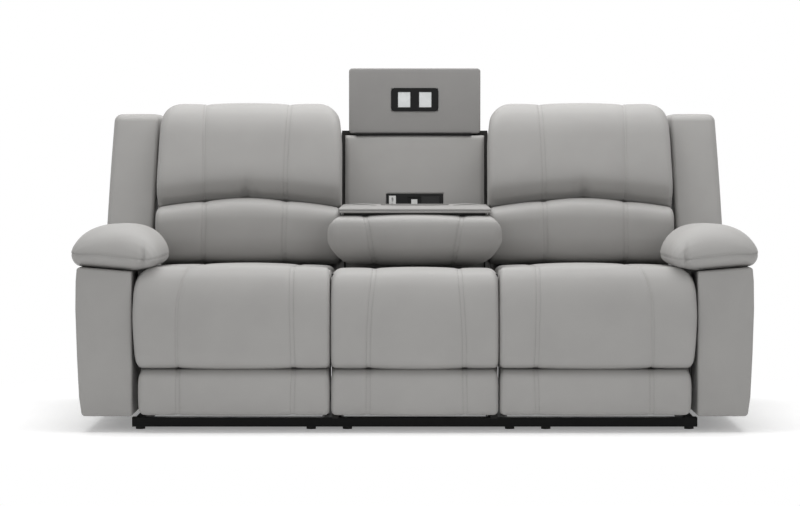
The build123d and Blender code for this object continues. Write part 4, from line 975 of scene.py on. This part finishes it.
rearPanel = dict(
    x=(-255.0, 255.0), z=(50.5, 940.8), front=440.3, rear=452.0, corner=10.0, edge=4.0,
    inletWell=((-28.7, 28.7), (430, 470), (128.3, 171.7)),
)
outline = rectangle(rearPanel["x"], rearPanel["z"], rearPanel["corner"])
rings = [(rearPanel["front"], roundedRing(outline))]
rings += [(rearPanel["rear"] - d, roundedRing(outline, i)) for i, d in edgeSteps(rearPanel["edge"])[::-1]]
piece = ringLoft("rear_panel", rings, alongY, crown=(0.0, 2.0))
cutAway(piece, blockBetween("inletWell", *rearPanel["inletWell"]))
dress(piece, "panelUpholstery", "base", ["middle_rear_cover"])
print("middle back ready")

rigidLooks = dict(        # a name that starts with "_" is a left and right pair
    blackSteel=("base_rails", "mechanism_plates", "light_hinge_fixed_leaf", "light_hinge_moving_leaf",
                "console_hinge_arms", "console_hinge_brackets", "_rear_links", "_front_links"),
    springSteel=("seat_springs",),
    blackPlastic=("handle_bezels", "power_housing", "power_inlet", "lamp_bezel", "cup_liners",
                  "_release_handle"),
    greyPlastic=("power_blank_cover",),
    whitePlastic=("power_ports", "light_switch"),
    lampLens=("lamp_lenses",),
    footRubber=("floor_glides",),
    # the middle back's frame, seen beside the recess and the light panel, takes the dark cloth as painted
    # shade
    darkLiningAndPaintedShade=("middle_seat_frame", "middle_back_frame", "console_board", "_footrest_board", "_back_frame"),
    plywood=("_arm_frame", "_seat_frame"),
)
for look, nodes in rigidLooks.items():
    for node in nodes:
        for side in ("left", "right") if node[0] == "_" else ("",):
            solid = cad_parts[side + node]
            solid.data.materials.clear()
            solid.data.materials.append(finish(look))
print("rigid parts finished")

studio = dict(
    half=14.0, shade=0.9, rough=0.9, specular=0.1, glow=0.24, ambient=0.455,
    footprint=(1.07, 0.49), fade=(0.05, 0.7),        # half sizes, and how far out of them the floor fades
)
lights = dict(
    overhead=dict(place=(0.0, -0.1, 3.2), aim=(0.0, 0.0, 0.4), size=(4.2, 2.2), power=101.0),
    front=dict(place=(0.0, -5.2, 2.4), aim=(0.0, 0.0, 0.5), size=(4.5, 2.4), power=26.0),
)
photoView = dict(
    place=(0.0, -7.47, 0.908), aim=(0.0, -0.47, 0.559), lens=101.9, sensor=36.0, shift=-14.7 / 800,
)


def seenBy(tree, *rays):         # 1 for rays of any of these kinds
    path = tree.nodes.new("ShaderNodeLightPath")
    seen = path.outputs[rays[0]]
    for ray in rays[1:]:
        seen = mathNode(tree, "MAXIMUM", seen, path.outputs[ray])
    return seen


def aimed(name, data, place, aim):
    placed = addObject(name, data)
    placed.location = place
    placed.rotation_euler = (Vector(aim) - Vector(place)).to_track_quat("-Z", "Y").to_euler()
    return placed


# A white floor with a little glow of its own, which fades into the white round it.
def floorFinish():
    material = bpy.data.materials.new("studioFloor")
    material.use_nodes = True
    tree = material.node_tree
    shader = tree.nodes["Principled BSDF"]
    fillSockets(tree, shader, {
        "Base Color": (*grey(studio["shade"]), 1), "Roughness": studio["rough"],
        "Specular IOR Level": studio["specular"],
    })
    seen = seenBy(tree, "Is Camera Ray", "Is Glossy Ray")
    place = addNode(tree, "ShaderNodeTexCoord").outputs["Object"]
    spot = addNode(tree, "ShaderNodeSeparateXYZ", Vector=place)
    squares = []
    for axis, half in enumerate(studio["footprint"]):
        side = mathNode(tree, "ABSOLUTE", spot.outputs[axis], 0.0)
        side = mathNode(tree, "MAXIMUM", mathNode(tree, "SUBTRACT", side, half), 0.0)
        squares.append(mathNode(tree, "MULTIPLY", side, side))
    away = mathNode(tree, "SQRT", mathNode(tree, "ADD", *squares), 0.0)
    fade = remap(tree, away, "From", studio["fade"], "SMOOTHSTEP")
    glow = mathNode(tree, "MULTIPLY", seen, studio["glow"])
    glow = addNode(tree, "ShaderNodeEmission", Color=(1, 1, 1, 1), Strength=glow)
    lit = addNode(tree, "ShaderNodeAddShader", i0=shader.outputs[0], i1=glow.outputs[0])
    clear = addNode(tree, "ShaderNodeBsdfTransparent")
    faded = addNode(tree, "ShaderNodeMixShader", i0=mathNode(tree, "MULTIPLY", fade, seen),
                    i1=lit.outputs[0], i2=clear.outputs[0])
    tree.links.new(faded.outputs[0], tree.nodes["Material Output"].inputs["Surface"])
    return material


floorMesh = bpy.data.meshes.new("studio_floor")
corners = [(x * studio["half"], y * studio["half"], 0) for x, y in ((-1, -1), (1, -1), (1, 1), (-1, 1))]
floorMesh.from_pydata(corners, [], [(0, 1, 2, 3)])
floorMesh.materials.append(floorFinish())
addObject("studio_floor", floorMesh)

# A soft grey light from all round, white where it is looked at.
world = bpy.data.worlds.new("studio")
bpy.context.scene.world = world
world.use_nodes = True
sky = world.node_tree
sky.nodes.clear()
plain = addNode(sky, "ShaderNodeBackground", Color=(1, 1, 1, 1), Strength=studio["ambient"])
white = addNode(sky, "ShaderNodeBackground", Color=(1, 1, 1, 1), Strength=1.0)
seen = seenBy(sky, "Is Camera Ray", "Is Glossy Ray", "Is Transmission Ray")
mix = addNode(sky, "ShaderNodeMixShader", i0=seen, i1=plain.outputs[0], i2=white.outputs[0])
addNode(sky, "ShaderNodeOutputWorld", Surface=mix.outputs[0])

for name, lamp in lights.items():
    light = bpy.data.lights.new(name, "AREA")
    light.shape, light.energy = "RECTANGLE", lamp["power"]
    light.size, light.size_y = lamp["size"]
    aimed(name, light, lamp["place"], lamp["aim"])

camera = bpy.data.cameras.new("photo")
camera.lens, camera.sensor_width, camera.shift_x = (photoView[k] for k in ("lens", "sensor", "shift"))
bpy.context.scene.camera = aimed("photo", camera, photoView["place"], photoView["aim"])
bpy.context.scene.view_settings.view_transform = "Standard"
print("studio ready")
